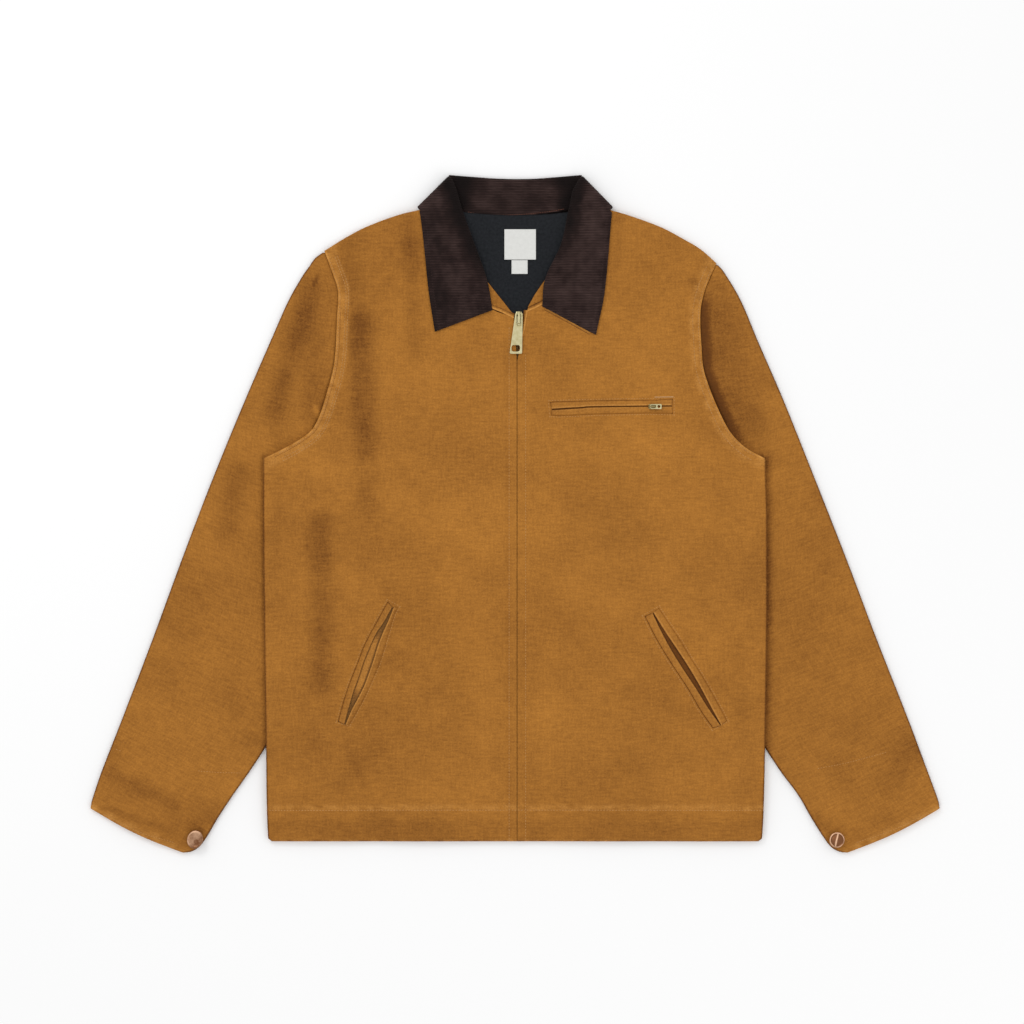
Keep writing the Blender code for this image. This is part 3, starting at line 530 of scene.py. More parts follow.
def denseRows(*parts):
    # parts: (start, end, spacing) runs of distances, joined without repeats
    runs = [np.arange(start, end, spacing) for start, end, spacing in parts]
    return np.r_[np.concatenate(runs), parts[-1][1]]


def edgeDrop(inset, radius, depth):  # how far a rounded cut edge falls, inset from its outermost line
    t = 1 - np.clip(np.asarray(inset, float) / radius, 0, 1)
    return depth * (1 - np.sqrt(np.maximum(0, 1 - t * t)))


def bodyRows(side, spacing):
    # rows from hem to neck along the body's outline: outer point, how far the edge is turned, inner point
    parts = [smoothCurve(body["side" + side]), armholeLine[side], smoothCurve(body["shoulder" + side])]
    edge = np.vstack([parts[0], parts[1][1:], parts[2][1:]])
    lengths = curveLengths(edge)
    armpit = lengths[len(parts[0]) - 1]
    tip = lengths[len(parts[0]) + len(parts[1]) - 2]
    close = spacing * 0.6
    hemRows = [(0, 2.4, 0.4), (2.4, 20, 2.5), (20, 48, 1.3)] if spacing < 5 else [(0, 5, 1), (5, 48, spacing)]
    at = denseRows(*hemRows, (48, armpit - 8, spacing), (armpit - 8, armpit + 8, close),
                   (armpit + 8, tip - 8, spacing), (tip - 8, tip + 8, close), (tip + 8, lengths[-1], spacing))
    outer = onCurve(edge, at / lengths[-1])
    turned = np.maximum(1 - smoothStep(armpit - 12, armpit + 2, at), smoothStep(tip - 2, tip + 12, at))
    return outer, turned, at, mix(armpit, tip, 0.8)


def innerEdge(side, outer, at, neckFrom):
    closing = smoothCurve(body["closing" + side], smooth=False)
    neck = smoothCurve(body["neck" + side])
    highest = np.interp(neckFrom, at, outer[:, 1])
    low = (outer[:, 1] - body["hemY"]) / (highest - body["hemY"])
    high = (at - neckFrom) / (at[-1] - neckFrom)
    return np.where((at < neckFrom)[:, None], onCurve(closing, low), onCurve(neck, high))


# look of the cloth by place: paler or darker, painted light and shade, and rubbed edges

toneAndShadeSpots = [
    # x, y, half width, half height, tone: paler above 0; painted light and shade with paler and darker
    # patches
    (120, 150, 150, 150, 0.06), (-110, 120, 150, 160, 0.02), (-180, -250, 130, 120, -0.05),
    (-160, 300, 60, 40, -0.06), (170, 300, 60, 40, -0.03), (60, -330, 150, 40, -0.02),
    (0, -100, 60, 260, 0.02), (190, 10, 55, 60, 0.06), (-322, -305, 48, 36, 0.13),
    (-240, -352, 60, 16, -0.06),
]
toneAndShadeLines = {
    # start, end, half width, tone: painted shade in troughs, folds, beside seams and the collar, painted
    # highlights on ridges, and paler and darker patches
    "sleeve": [((-230, 252), (-270, 115), 21, -0.26), ((-221, 268), (-225, 258), 5, -0.26),
               ((-230, 225), (-226, 120), 24, -0.15), ((-224, 119), (-219, 108), 5, 0.4),
               ((-300, -250), (-268, -266), 10, -0.08), ((-312, 45), (-322, -15), 24, -0.18),
               ((-268, 95), (-262, 85), 17, -0.12), ((268, 110), (280, 60), 22, -0.14),
               ((330, -255), (372, -300), 20, -0.06), ((-352, -350), (-336, -334), 22, -0.1),
               ((-359, -364), (-357, -362), 15, -0.3), ((-452, -291), (-382, -326), 13, -0.14),
               ((-457, -330), (-388, -354), 6, -0.14), ((232, 232), (256, 110), 30, -0.16),
               ((214, 262), (232, 254), 8, -0.12), ((252, 262), (262, 235), 10, -0.12),
               ((340, -345), (348, -350), 12, -0.12), ((361, -366), (360, -366), 12, -0.2),
               ((-330, -200), (-300, -120), 26, -0.05), ((452, -262), (418, -300), 30, -0.14),
               ((318, -150), (350, -60), 22, -0.07)],
    "body": [((-188, 300), (-176, 190), 18, -0.13), ((-171, 215), (-168, 75), 24, -0.29),
             ((-218, -10), (-216, -190), 24, -0.26), ((-168, 60), (-166, 15), 22, -0.12),
             ((-119, 338), (-117, 300), 17, -0.15), ((-116, 300), (-113, 180), 17, -0.15),
             ((116, 335), (112, 260), 10, -0.08), ((-212, 289), (-193, 238), 7, 0.14),
             ((-199, 240), (-203, 150), 8, 0.06), ((-181, 190), (-178, 120), 10, -0.08),
             ((200, 262), (206, 240), 8, -0.16), ((-10, 190), (-6, -360), 5, -0.06),
             ((214, 283), (224, 268), 9, -0.12), ((-262, 40), (-270, -60), 12, -0.06),
             ((-150, -262), (-190, -300), 22, -0.06), ((-188, -255), (-170, -300), 9, -0.07),
             ((250, -150), (262, -300), 16, -0.07), ((60, 250), (90, 150), 26, 0.05),
             ((-40, -120), (-30, -330), 26, 0.04), ((40, -140), (34, -330), 20, 0.05)],
}


def lineToneAndShade(kind, x, y):
    tone = np.zeros(np.shape(x))
    for start, end, width, amount in toneAndShadeLines[kind]:
        distance, _ = nearLine([start, end], x, y)
        tone += amount * (1 - smoothStep(0, width, np.abs(distance)))
    return tone


def sleeveToneAndShade(x, y):
    tone = toneAndShadeAt(x, y) + lineToneAndShade("sleeve", x, y) - 0.02
    # the body's shadow on the right sleeve, and along both sides
    distance, along = nearLine(armholeLine["Right"], x, y)
    crescent = smoothStep(14, 60, along) * (1 - smoothStep(185, 226, along)) * (x > 0)
    distance = np.abs(distance)
    tone -= crescent * (0.55 * (1 - smoothStep(3, 15, distance)) + 0.2 * (1 - smoothStep(8, 34, distance)))
    gap = np.abs(x) - bodyHalf(x, y, 60)
    tone -= np.where(x > 0, 0.36, 0.24) * bump(gap, np.where(x > 0, 11, 5)) * (y < 66)
    # painted shade along each sleeve's folded edges
    for key in ("overarm", "underarm"):
        for name in ("Left", "Right"):
            distance, _ = nearLine(smoothCurve(sleeves[key + name], steps=4), x, y)
            tone -= 0.55 * bump(distance, 2.4)
    return tone


def bodyToneAndShade(x, y):
    # painted shade along the folded side edges and the hem's edge; the hem strip darker towards the bottom
    edge = np.maximum(bump(bodyHalf(x, y, 60) - np.abs(x), 2.2) * (y < 64), bump(y - body["hemY"], 2.2))
    hem = (0.1 - 0.03 * smoothStep(-40, 60, x)) * (1 - smoothStep(-348, -339, y))
    return toneAndShadeAt(x, y) + lineToneAndShade("body", x, y) - 0.5 * edge - hem


def toneAndShadeAt(x, y):
    tone = 0.035 * softField(x, y, 150, 11) + 0.02 * softField(x, y, 46, 12)
    for cx, cy, width, height, amount in toneAndShadeSpots:
        tone += amount * np.exp(-((x - cx) / width) ** 2 - ((y - cy) / height) ** 2)
    return tone


def places(piece):
    spots = np.empty(len(piece.data.vertices) * 3, np.float32)
    piece.data.vertices.foreach_get("co", spots)
    return spots.reshape(-1, 3).astype(float) / mm


def shade(piece, tone=None, worn=None):
    spots = places(piece)
    x, y = spots[:, 0], spots[:, 1]
    paint(piece, "tone", tone(x, y) if tone else np.zeros(len(x)))
    paint(piece, "worn", worn(x, y) if worn else np.zeros(len(x)))


def frontWorn(x, y):
    worn = np.zeros(np.shape(x))
    for side in ("Left", "Right"):
        distance, _ = nearLine(armholeLine[side], x, y)
        distance = np.abs(distance)
        worn = np.maximum(worn, 0.75 * bump(distance - 1.0, 2.5))
        worn = np.maximum(worn, 0.35 * (1 - smoothStep(10, 16, distance)))
    worn = np.maximum(worn, 0.4 * bump(y - relief["hemStitchY"] - 3, 6))
    worn = np.maximum(worn, 0.6 * bump(y - body["hemY"], 3))
    return worn * (0.7 + 0.3 * softField(x, y, 14, 21))


fronts = {
    "rowSpacing": 3.4, "closingInsets": [0, 0.2, 0.5, 0.95, 1.5, 2.2],
    "outerAngles": [90, 72, 54, 36, 18, 0], "edgeFall": 0.8, "edgeRadius": 1.4, "neckFall": 0.7,
}
back = {"lines": 150, "rowSpacing": 6, "across": 34, "neckFrom": 122, "neckDip": 10.5}


def foldedEdge(degrees, depth):  # how far a folded edge's points lie inside it, and how far they fall
    angles = np.radians(degrees)
    return cloth["foldRadius"] * (1 - np.sin(angles)), depth * (1 - np.cos(angles))


def makeFront(side):
    outer, turned, at, neckFrom = bodyRows(side, fronts["rowSpacing"])
    inner = innerEdge(side, outer, at, neckFrom)
    reach = np.linalg.norm(outer - inner, axis=1)
    insets, falls = foldedEdge(fronts["outerAngles"], cloth["foldRadius"] - cloth["foldSeam"])
    rows = []
    for index in range(len(at)):
        narrow = min(1, reach[index] / 60)  # near the neck the rows are short
        near = np.r_[fronts["closingInsets"], np.arange(3.4, 19, 1.5)] * narrow
        far = reach[index] - np.r_[np.arange(19, 3.3, -1.1), insets[::-1]] * narrow
        middle = np.linspace(near[-1], far[0], 56)[1:-1]
        inset = np.r_[near, middle, far]
        fall = np.r_[edgeDrop(near, fronts["edgeRadius"], fronts["edgeFall"]), np.zeros(len(middle)),
                     np.zeros(len(far) - len(insets)), falls[::-1] * turned[index]]
        openEdge = edgeDrop(reach[index] - inset, fronts["edgeRadius"], fronts["neckFall"])
        openEdge = openEdge * (1 - turned[index])
        place = inner[index] + (outer[index] - inner[index]) * (inset / reach[index])[:, None]
        hem = edgeDrop(place[:, 1] - body["hemY"], fronts["edgeRadius"], fronts["edgeFall"])
        height = frontTop(place[:, 0], place[:, 1]) - np.maximum(fall, hem) - openEdge
        rows.append(np.column_stack([place, height]))
    points = np.array(rows)
    piece = gridPiece("front" + side, points, points[:, :, :2])
    faceUp(piece)
    addWall(piece, cloth["wall"])
    shade(piece, bodyToneAndShade, frontWorn)
    return dress(piece, canvas, ["front_" + side.lower()])


def makeBack():
    halves = []
    for side in ("Left", "Right"):
        outer, turned, at, _ = bodyRows(side, back["rowSpacing"])
        turned = np.interp(np.linspace(0, at[-1], back["lines"]), at, turned)
        halves.append((onCurve(outer, np.linspace(0, 1, back["lines"])), turned))
    insets, falls = foldedEdge(fronts["outerAngles"], cloth["foldRadius"] - cloth["foldSeam"])
    rows = []
    for index in range(back["lines"]):
        (left, turnedLeft), (right, turnedRight) = ((outer[index], turned[index]) for outer, turned in halves)
        dip = back["neckDip"] * smoothStep(back["neckFrom"], back["lines"] - 1, index)
        middle = np.array([0, (left[1] + right[1]) / 2 - dip])
        line = []
        for outer, turned in ((left, turnedLeft), (right, turnedRight)):
            reach = np.linalg.norm(outer - middle)
            flat = np.linspace(0, 1 - cloth["foldRadius"] / reach, back["across"])[:-1]
            shares = np.r_[flat, 1 - insets[::-1] / reach]
            fall = np.r_[np.zeros(len(flat)), falls[::-1] * turned]
            place = middle + (outer - middle) * shares[:, None]
            line.append(np.column_stack([place, lift(place[:, 0], place[:, 1]) + fall]))
        rows.append(np.vstack([line[0][::-1], line[1][1:]]))
    points = np.array(rows)
    piece = gridPiece("backPanel", points, points[:, :, :2])
    faceUp(piece, (0, 0, -1))
    addWall(piece, cloth["wall"])
    shade(piece, toneAndShadeAt)
    return dress(piece, canvas, ["back_panel"])


sleeves = {
    "overarmLeft": [(-214, 294.5), (-224.5, 287), (-230.5, 278.5), (-238, 268), (-254, 240), (-274, 195),
                    (-303, 128), (-340, 38), (-374, -51), (-407, -141), (-441, -230), (-464, -289),
                    (-475, -322), (-476.5, -330)],
    "overarmRight": [(226, 281), (234, 272), (253, 240), (272, 195), (301, 128), (337, 38), (372, -51),
                     (406, -141), (441, -230), (463, -289), (475, -322), (476.5, -330)],
    "underarmLeft": [(-224, 92), (-222, 40), (-222, -40), (-225, -110), (-235, -170), (-255, -215),
                     (-278, -258), (-298, -289), (-317, -316), (-334, -342), (-347, -364), (-355, -374),
                     (-364, -379), (-372, -380)],
    "underarmRight": [(232, 96), (226, 40), (224, -40), (226, -110), (235, -170), (255, -215), (278, -258),
                      (298, -289), (318, -316), (333, -342), (347, -364), (355, -374), (364, -379),
                      (372, -380)],
    "crown": 2.2, "cuffBow": 3.5, "tuck": 1.2, "seamDip": 1.7, "seamDipReach": 4.5,
    "tubeAngles": [90, 74, 58, 42, 24, 10, 0], "edgeAngles": [90, 70, 48, 24, 0],
    # the part's own section numbers, so that the fullness runs the same way
    "capShares": [0.975, 0.91, 0.8, 0.66, 0.52, 0.38, 0.25],
    "armShares": [0.05, 0.15, 0.26, 0.37, 0.48, 0.58, 0.68, 0.78, 0.87, 0.94, 1],
}


def sleeveSections(side):
    outward = -1 if side == "Left" else 1
    overarm, underarm = smoothCurve(sleeves["overarm" + side]), smoothCurve(sleeves["underarm" + side])
    armhole = armholeLine[side]
    capShare, armShare = np.array(sleeves["capShares"]), np.array(sleeves["armShares"])
    seam = onCurve(armhole, np.linspace(0, 1, 400))
    seam = offsetCurve(seam, outward * sleeves["tuck"])
    cap = 1 - capShare[-1]
    capEnd = cap * curveLengths(armhole)[-1] / curveLengths(overarm)[-1]
    shares = np.linspace(0.99, capShare[-1], 70)
    outer = [onCurve(overarm, (1 - shares) / cap * capEnd)]
    inner = [onCurve(seam, shares)]
    number = [np.interp(-shares, -capShare, np.arange(7))]
    turned = [np.zeros(len(shares))]
    shares = np.r_[np.linspace(0.008, 0.90, 120), np.linspace(0.905, 0.994, 26), 0.996, 0.998, 1.0]
    outer.append(onCurve(overarm, mix(capEnd, 1, shares)))
    inner.append(onCurve(underarm, shares))
    number.append(np.interp(shares, np.r_[0, armShare], np.arange(6, 18)))
    turned.append(smoothStep(-0.01, 0.05, shares))
    return np.vstack(outer), np.vstack(inner), np.concatenate(number), np.concatenate(turned), outward


def sleeveTop(side, x, y, arch, number, underBody):
    swell = mix(0.35, 1, smoothStep(0, 9, number)) * mix(1, 0.4, smoothStep(13, 17, number))
    free = 1 - underBody
    fullness = sleeves["crown"] * arch**0.8 * swell * free
    height = 2 * cloth["wall"] + cloth["edgeSpace"] + fullness - troughDepth("sleeve" + side, x, y) * free
    return height + sleeveRelief(side, x, y) * free * np.minimum(1, arch * 3)


def sleeveRelief(side, x, y):
    return 0.35 * softField(x, y, 110, 7 if side == "Left" else 8) + 0.1 * softField(x, y, 38, 9)


def makeSleeve(side):
    outer, inner, number, turned, outward = sleeveSections(side)
    tubeInset, tubeFall = foldedEdge(sleeves["tubeAngles"], cloth["foldRadius"])
    edgeInset, edgeFall = foldedEdge(sleeves["edgeAngles"], cloth["foldRadius"] - cloth["foldSeam"])
    rows, flat = [], []
    run = curveLengths((outer + inner) / 2)
    for index in range(len(number)):
        across = inner[index] - outer[index]
        width = np.linalg.norm(across)
        toHand = np.array([across[1], -across[0]]) / width * -outward
        bow = sleeves["cuffBow"] * smoothStep(15, 17, number[index])
        def line(count):
            middle = np.linspace(tubeInset[-1], width - edgeInset[-1], count)[1:-1]
            inset = np.r_[tubeInset, middle, width - edgeInset[::-1]]
            fall = np.r_[tubeFall, 0 * middle, edgeFall[::-1] * turned[index]]
            share = inset / width
            arch = np.sin(math.pi * np.clip(share, 0, 1))
            place = outer[index] + across * share[:, None] + toHand * (bow * arch)[:, None]
            return inset, fall, arch, place
        inset, fall, arch, place = line(64)
        x, y = place[:, 0], place[:, 1]
        underBody = (1 - smoothStep(286, 335, np.abs(x))) * (1 - smoothStep(112, 172, y))
        atSeam = 1 - smoothStep(0, sleeves["seamDipReach"], width - inset)
        seamDip = sleeves["seamDip"] * (1 - turned[index]) * atSeam
        top = sleeveTop(side, x, y, arch, number[index], underBody) - fall - seamDip
        inset2, fall2, _, place2 = line(14)
        upper = np.column_stack([place, top])[::-1]
        lower = np.column_stack([place2, fall2])[1:]
        rows.append(np.vstack([upper, lower]))
        around = np.r_[width - inset[::-1], width + inset2[1:]]
        flat.append(np.column_stack([around * outward, np.full(len(around), -run[index])]))
    points = np.array(rows)
    piece = gridPiece("sleeve" + side, points, np.array(flat))
    if piece.data.polygons[30].normal.z < 0:
        piece.data.flip_normals()
    addWall(piece, cloth["wall"])
    shade(piece, sleeveToneAndShade, sleeveWorn)
    return dress(piece, canvas, ["sleeve_" + side.lower()])


def sleeveWorn(x, y):
    worn = np.zeros(np.shape(x))
    for side in ("Left", "Right"):
        cuff = np.array([sleeves["overarm" + side][-1], sleeves["underarm" + side][-1]], float)
        distance, _ = nearLine(cuff, x, y)
        worn = np.maximum(worn, 0.5 * bump(np.abs(distance), 9))
    return worn * (0.7 + 0.3 * softField(x, y, 14, 22))


makeBack()
for side in ("Left", "Right"):
    makeFront(side)
    makeSleeve(side)
print("body and sleeves made")


# collar, with its falls on the fronts and its back part under the back panel

def spacedShares(length, count, ends=(0, 0.12, 0.4, 0.9, 1.6)):  # shares of a length, close at its ends
    ends = np.array(ends) / length
    return np.r_[ends[:-1], np.linspace(ends[-1], 1 - ends[-1], count), 1 - ends[:-1][::-1]]


def thickPiece(name, middle, uv, half, rounding=1.1):
    # a closed padded sheet round a grid of middle points: full thickness 2 x half, round at its border
    down, right = np.gradient(middle, axis=0), np.gradient(middle, axis=1)
    normal = np.cross(right, down)
    normal /= np.maximum(np.linalg.norm(normal, axis=2), 1e-9)[:, :, None]
    if normal[:, :, 2].mean() < 0:
        normal = -normal
    def fromBorder(axis):
        step = np.linalg.norm(np.diff(middle, axis=axis), axis=2)
        run = np.cumsum(step, axis=axis)
        run = np.concatenate([np.zeros_like(np.take(run, [0], axis=axis)), run], axis=axis)
        return np.minimum(run, np.take(run, [-1], axis=axis) - run)
    thin = np.minimum(fromBorder(0), fromBorder(1)) / (half * rounding)
    thin = np.sqrt(np.maximum(0, 1 - (1 - np.minimum(thin, 1)) ** 2))
    top = middle + normal * (half * thin)[:, :, None]
    bottom = middle - normal * (half * thin)[:, :, None]
    piece = gridPiece(name, top, uv)
    other = gridPiece(name + "Under", bottom, uv)
    shape = bmesh.new()
    shape.from_mesh(piece.data)
    shape.from_mesh(other.data)
    bmesh.ops.remove_doubles(shape, verts=shape.verts, dist=1e-6)
    bmesh.ops.recalc_face_normals(shape, faces=shape.faces)
    shape.to_mesh(piece.data)
    shape.free()
    bpy.data.objects.remove(other)
    piece.data.shade_smooth()
    return piece


collar = {
    "frontLeft": [(-26, 228, -90, 204), (-32, 262, -97, 250), (-46, 302, -101, 290), (-59, 338, -105, 326),
                  (-66, 362, -107, 339)],
    "frontRight": [(31, 232, 90.5, 200.5), (34, 262, 99.5, 243), (52, 302, 104.3, 288), (60, 338, 107, 322),
                   (65, 362, 108.5, 337)],
    "foldLeft": (-75, 378.64, -110, 344), "foldRight": (76, 378.64, 110, 344),
    "back": [(-60, 377.5, -82, 318), (-34, 376, -44, 300), (0, 375, 0, 292), (34, 376, 44, 300),
             (60, 377.5, 82, 318)],
    "clearance": 0.5, "rollHeight": 1.3,
}
stand = [(-74.5, 379.6, -65, 339.6), (-62, 378.6, -56, 337), (-44, 377.2, -40, 334.6),
         (-16, 375.4, -15, 333.4), (16, 375.2, 15, 334.8), (44, 377, 42, 338), (62, 378.6, 57, 340.4),
         (75, 379.6, 65, 341.6)]


def leafHeight(x, y):
    return frontTop(x, np.minimum(y, 344)) + collar["clearance"] + cloth["collarWall"] / 2


def leafRow(roll, edge, level):
    # one line across the leaf from its rolled edge to its outer edge
    under = cloth["collarWall"] / 2
    length = np.linalg.norm(edge - roll)
    inset = spacedShares(length, 34) * length
    place = roll + (edge - roll) * (inset / length)[:, None]
    x, y = place[:, 0], place[:, 1]
    high = leafHeight(x, y) + collar["rollHeight"] * np.exp(-((inset - 7) / 8) ** 2)
    high = high - edgeDrop(inset, 5, 2.4)
    middle, half = (high + under) / 2, (high - under) / 2
    return np.column_stack([place, middle + level * half])


def makeLeaf():
    def frontLines(side):
        table = np.array(collar["front" + side], float)
        rolls, edges = smoothCurve(table[:, :2]), smoothCurve(table[:, 2:])
        shares = np.r_[0, 0.0012, 0.004, 0.008, 0.014, np.linspace(0.022, 1, 70)]
        return [leafRow(roll, edge, 1) for roll, edge in zip(onCurve(rolls, shares), onCurve(edges, shares))]
    def turnLines(side):
        rollX, rollY, edgeX, edgeY = collar["fold" + side]
        roll, edge = np.array([rollX, rollY]), np.array([edgeX, edgeY])
        along = (edge - roll) / np.linalg.norm(edge - roll)
        inward = np.array([-along[1], along[0]])
        inward = -inward if inward[0] * rollX > 0 else inward
        centre = (roll + edge) / 2
        under = cloth["collarWall"] / 2
        radius = (leafHeight(*centre) - under) / 2
        made = []
        for angle in np.radians(np.linspace(90, -90, 17)):
            shift = inward * (radius * (1 - math.cos(angle)) + under)
            made.append(leafRow(roll + shift, edge + shift, math.sin(angle)))
        return made
    backRolls = smoothCurve([row[:2] for row in collar["back"]])
    backEdges = smoothCurve([row[2:] for row in collar["back"]])
    shares = np.linspace(0, 1, 40)
    pairs = zip(onCurve(backRolls, shares), onCurve(backEdges, shares))
    backLines = [leafRow(roll, edge, -1) for roll, edge in pairs]
    leftLines, rightLines = (frontLines(side) + turnLines(side) for side in ("Left", "Right"))
    middle = np.array(leftLines + backLines + rightLines[::-1])
    piece = thickPiece("collarLeaf", middle, middle[:, :, :2], cloth["collarWall"] / 2)
    shade(piece, collarToneAndShade)
    return dress(piece, corduroy, ["collar_leaf"])


def collarToneAndShade(x, y):
    # painted shade along the rolled edge and the outer edge, paler towards the right fall
    roll = np.interp(y, [232, 262, 302, 338, 362, 378], [30, 33, 50, 59.5, 65.5, 75.5])
    inner = (1 - smoothStep(2, 22, np.abs(x) - roll)) * smoothStep(250, 345, y)
    tone = 0.08 * softField(x, y, 34, 31) + 0.05 * softField(x, y, 9, 32) + 0.2 * smoothStep(0, 80, x) - 0.06
    edge = bump(np.interp(y, [204, 250, 290, 326, 344], [90, 98, 102.5, 106, 109]) - np.abs(x), 3)
    return tone - 0.62 * inner + 0.1 * bump(np.abs(x) - roll - 24, 16) - 0.2 * edge


def standToneAndShade(x, y):  # dark beside the falls, with a rubbed patch in the middle
    # painted shadow beside the falls, with a rubbed patch in the middle
    fromLeft, fromRight = np.abs(x + 66 - (y - 345) * 0.2), np.abs(x - 65 + (y - 345) * 0.2)
    shadow = 1 - smoothStep(2, 22, np.minimum(fromLeft, fromRight))
    return 0.08 * softField(x, y, 24, 42) - 0.02 - 0.62 * shadow + 0.32 * bump(x + 8, 16) * bump(y - 358, 10)


def makeStand():
    table = np.array(stand, float)
    crest, seam = smoothCurve(table[:, :2]), smoothCurve(table[:, 2:])
    level = 2 * cloth["collarWall"] + cloth["seam"] - cloth["collarWall"] / 2
    shares = spacedShares(149, 74)
    lines = []
    for top, bottom in zip(onCurve(crest, shares), onCurve(seam, shares)):
        length = np.linalg.norm(bottom - top)
        inset = spacedShares(length, 22) * length
        place = top + (bottom - top) * (inset / length)[:, None]
        height = level + 0.5 * smoothStep(0.5, 1, inset / length) - edgeDrop(inset, 3, 1.9)
        height += 0.18 * softField(place[:, 0], place[:, 1], 26, 41)
        lines.append(np.column_stack([place, height]))
    middle = np.array(lines)
    piece = thickPiece("collarStand", middle, middle[:, :, :2], cloth["collarWall"] / 2)
    shade(piece, standToneAndShade)
    return dress(piece, corduroy, ["collar_stand"])


neck = {
    # left, right, y at the left, the middle and the right
    "lining": [(-34, 42, 203, 203, 203), (-44, 46, 232, 230, 232), (-54, 58, 262, 260, 262),
               (-66, 70, 302, 299, 302), (-76, 78, 341, 335, 341)],
    "label": (-12, 23.3, 285, 319), "sizeLabel": (-4, 14, 269, 284.5),
    "facingLeft": [(-29.5, 236), (-2.5, 224.5), (-14, 239), (-31.5, 261)],
    "facingRight": [(14, 231.5), (31.5, 240), (33, 262), (22, 246)],
    "facingWall": 1.6,
}


def onLining(x, y):  # top of the lining
    return lift(x, y) + cloth["wall"] + 2 * cloth["seam"] + cloth["thinWall"]


def makeLining():
    table = np.array(neck["lining"], float)
    rowAt = np.linspace(0, 4, 70)
    rows = np.column_stack([np.interp(rowAt, np.arange(5), table[:, k]) for k in range(5)])
    lines = []
    for left, right, yLeft, yMiddle, yRight in rows:
        share = spacedShares(right - left, 55, (0, 0.3, 0.8))
        x = mix(left, right, share)
        end = mix(yLeft, yRight, share)
        y = end + (yMiddle - end) * (1 - (2 * share - 1) ** 2)
        height = onLining(x, y) - cloth["thinWall"] / 2 + 0.12 * softField(x, y, 18, 51)
        lines.append(np.column_stack([x, y, height]))
    middle = np.array(lines)
    piece = thickPiece("neckLining", middle, middle[:, :, :2], cloth["thinWall"] / 2)
    shade(piece)
    return dress(piece, liningCloth, ["neck_lining"])


def patch(name, corners, height, half, spacing=1.6):
    # a soft patch between four corners, in order round it
    a, b, c, d = (np.array(corner, float) for corner in corners)
    alongLength = (np.linalg.norm(d - a) + np.linalg.norm(c - b)) / 2
    acrossLength = (np.linalg.norm(b - a) + np.linalg.norm(c - d)) / 2
    lines = []
    for share in spacedShares(alongLength, int(alongLength / spacing) + 2, (0, 0.1, 0.3, 0.7)):
        start, end = mix(a, d, share), mix(b, c, share)
        shares = spacedShares(acrossLength, int(acrossLength / spacing) + 2, (0, 0.1, 0.3, 0.7))
        place = start + (end - start) * shares[:, None]
        lines.append(np.column_stack([place, height(place[:, 0], place[:, 1])]))
    middle = np.array(lines)
    return thickPiece(name, middle, middle[:, :, :2], half)


def makeNeckPieces():
    makeLining()
    labels = (("neckLabel", "neck_label", "label", 0.5), ("sizeLabel", "size_label", "sizeLabel", 0.3))
    for name, node, key, curl in labels:
        left, right, bottom, top = neck[key]
        def height(x, y, curl=curl, bottom=bottom, top=top):
            share = (y - bottom) / (top - bottom)
            return onLining(x, y) + 0.55 + curl * (1 - share) ** 2 + 0.1 * np.sin(x * 0.35)
        piece = patch(name, [(left, bottom), (right, bottom), (right, top), (left, top)], height, 0.25)
        shade(piece)
        dress(piece, labelCloth, [node])
    half = neck["facingWall"] / 2
    for side in ("Left", "Right"):
        piece = patch("facing" + side, neck["facing" + side],
                      lambda x, y: onLining(x, y) + cloth["seam"] + half, half)
        shade(piece, lambda x, y: 0 * x - 0.04)
        dress(piece, canvas, ["facing_" + side.lower()])


makeLeaf()
makeStand()
makeNeckPieces()
print("collar and neck made")

# how far the tapes and the teeth lie below the fronts, and half the tapes' thickness
zipTapes = {"width": 13.8, "low": -363, "high": 205, "below": 1.1, "half": 0.35, "teethBelow": 1.6}


def makeTapes():
    for side, sign in (("Left", -1), ("Right", 1)):
        inner = body["closingX"] + sign * cloth["seam"] / 2
        outer = inner + sign * zipTapes["width"]
        def height(x, y):
            return underFronts(x, y) - zipTapes["below"] - zipTapes["half"]
        low, high = zipTapes["low"], zipTapes["high"]
        corners = [(inner, low), (outer, low), (outer, high), (inner, high)]
        piece = patch("zipTape" + side, corners, height, zipTapes["half"], 3)
        shade(piece)
        dress(piece, tapeCloth, ["zip_tape_" + side.lower()])


makeTapes()

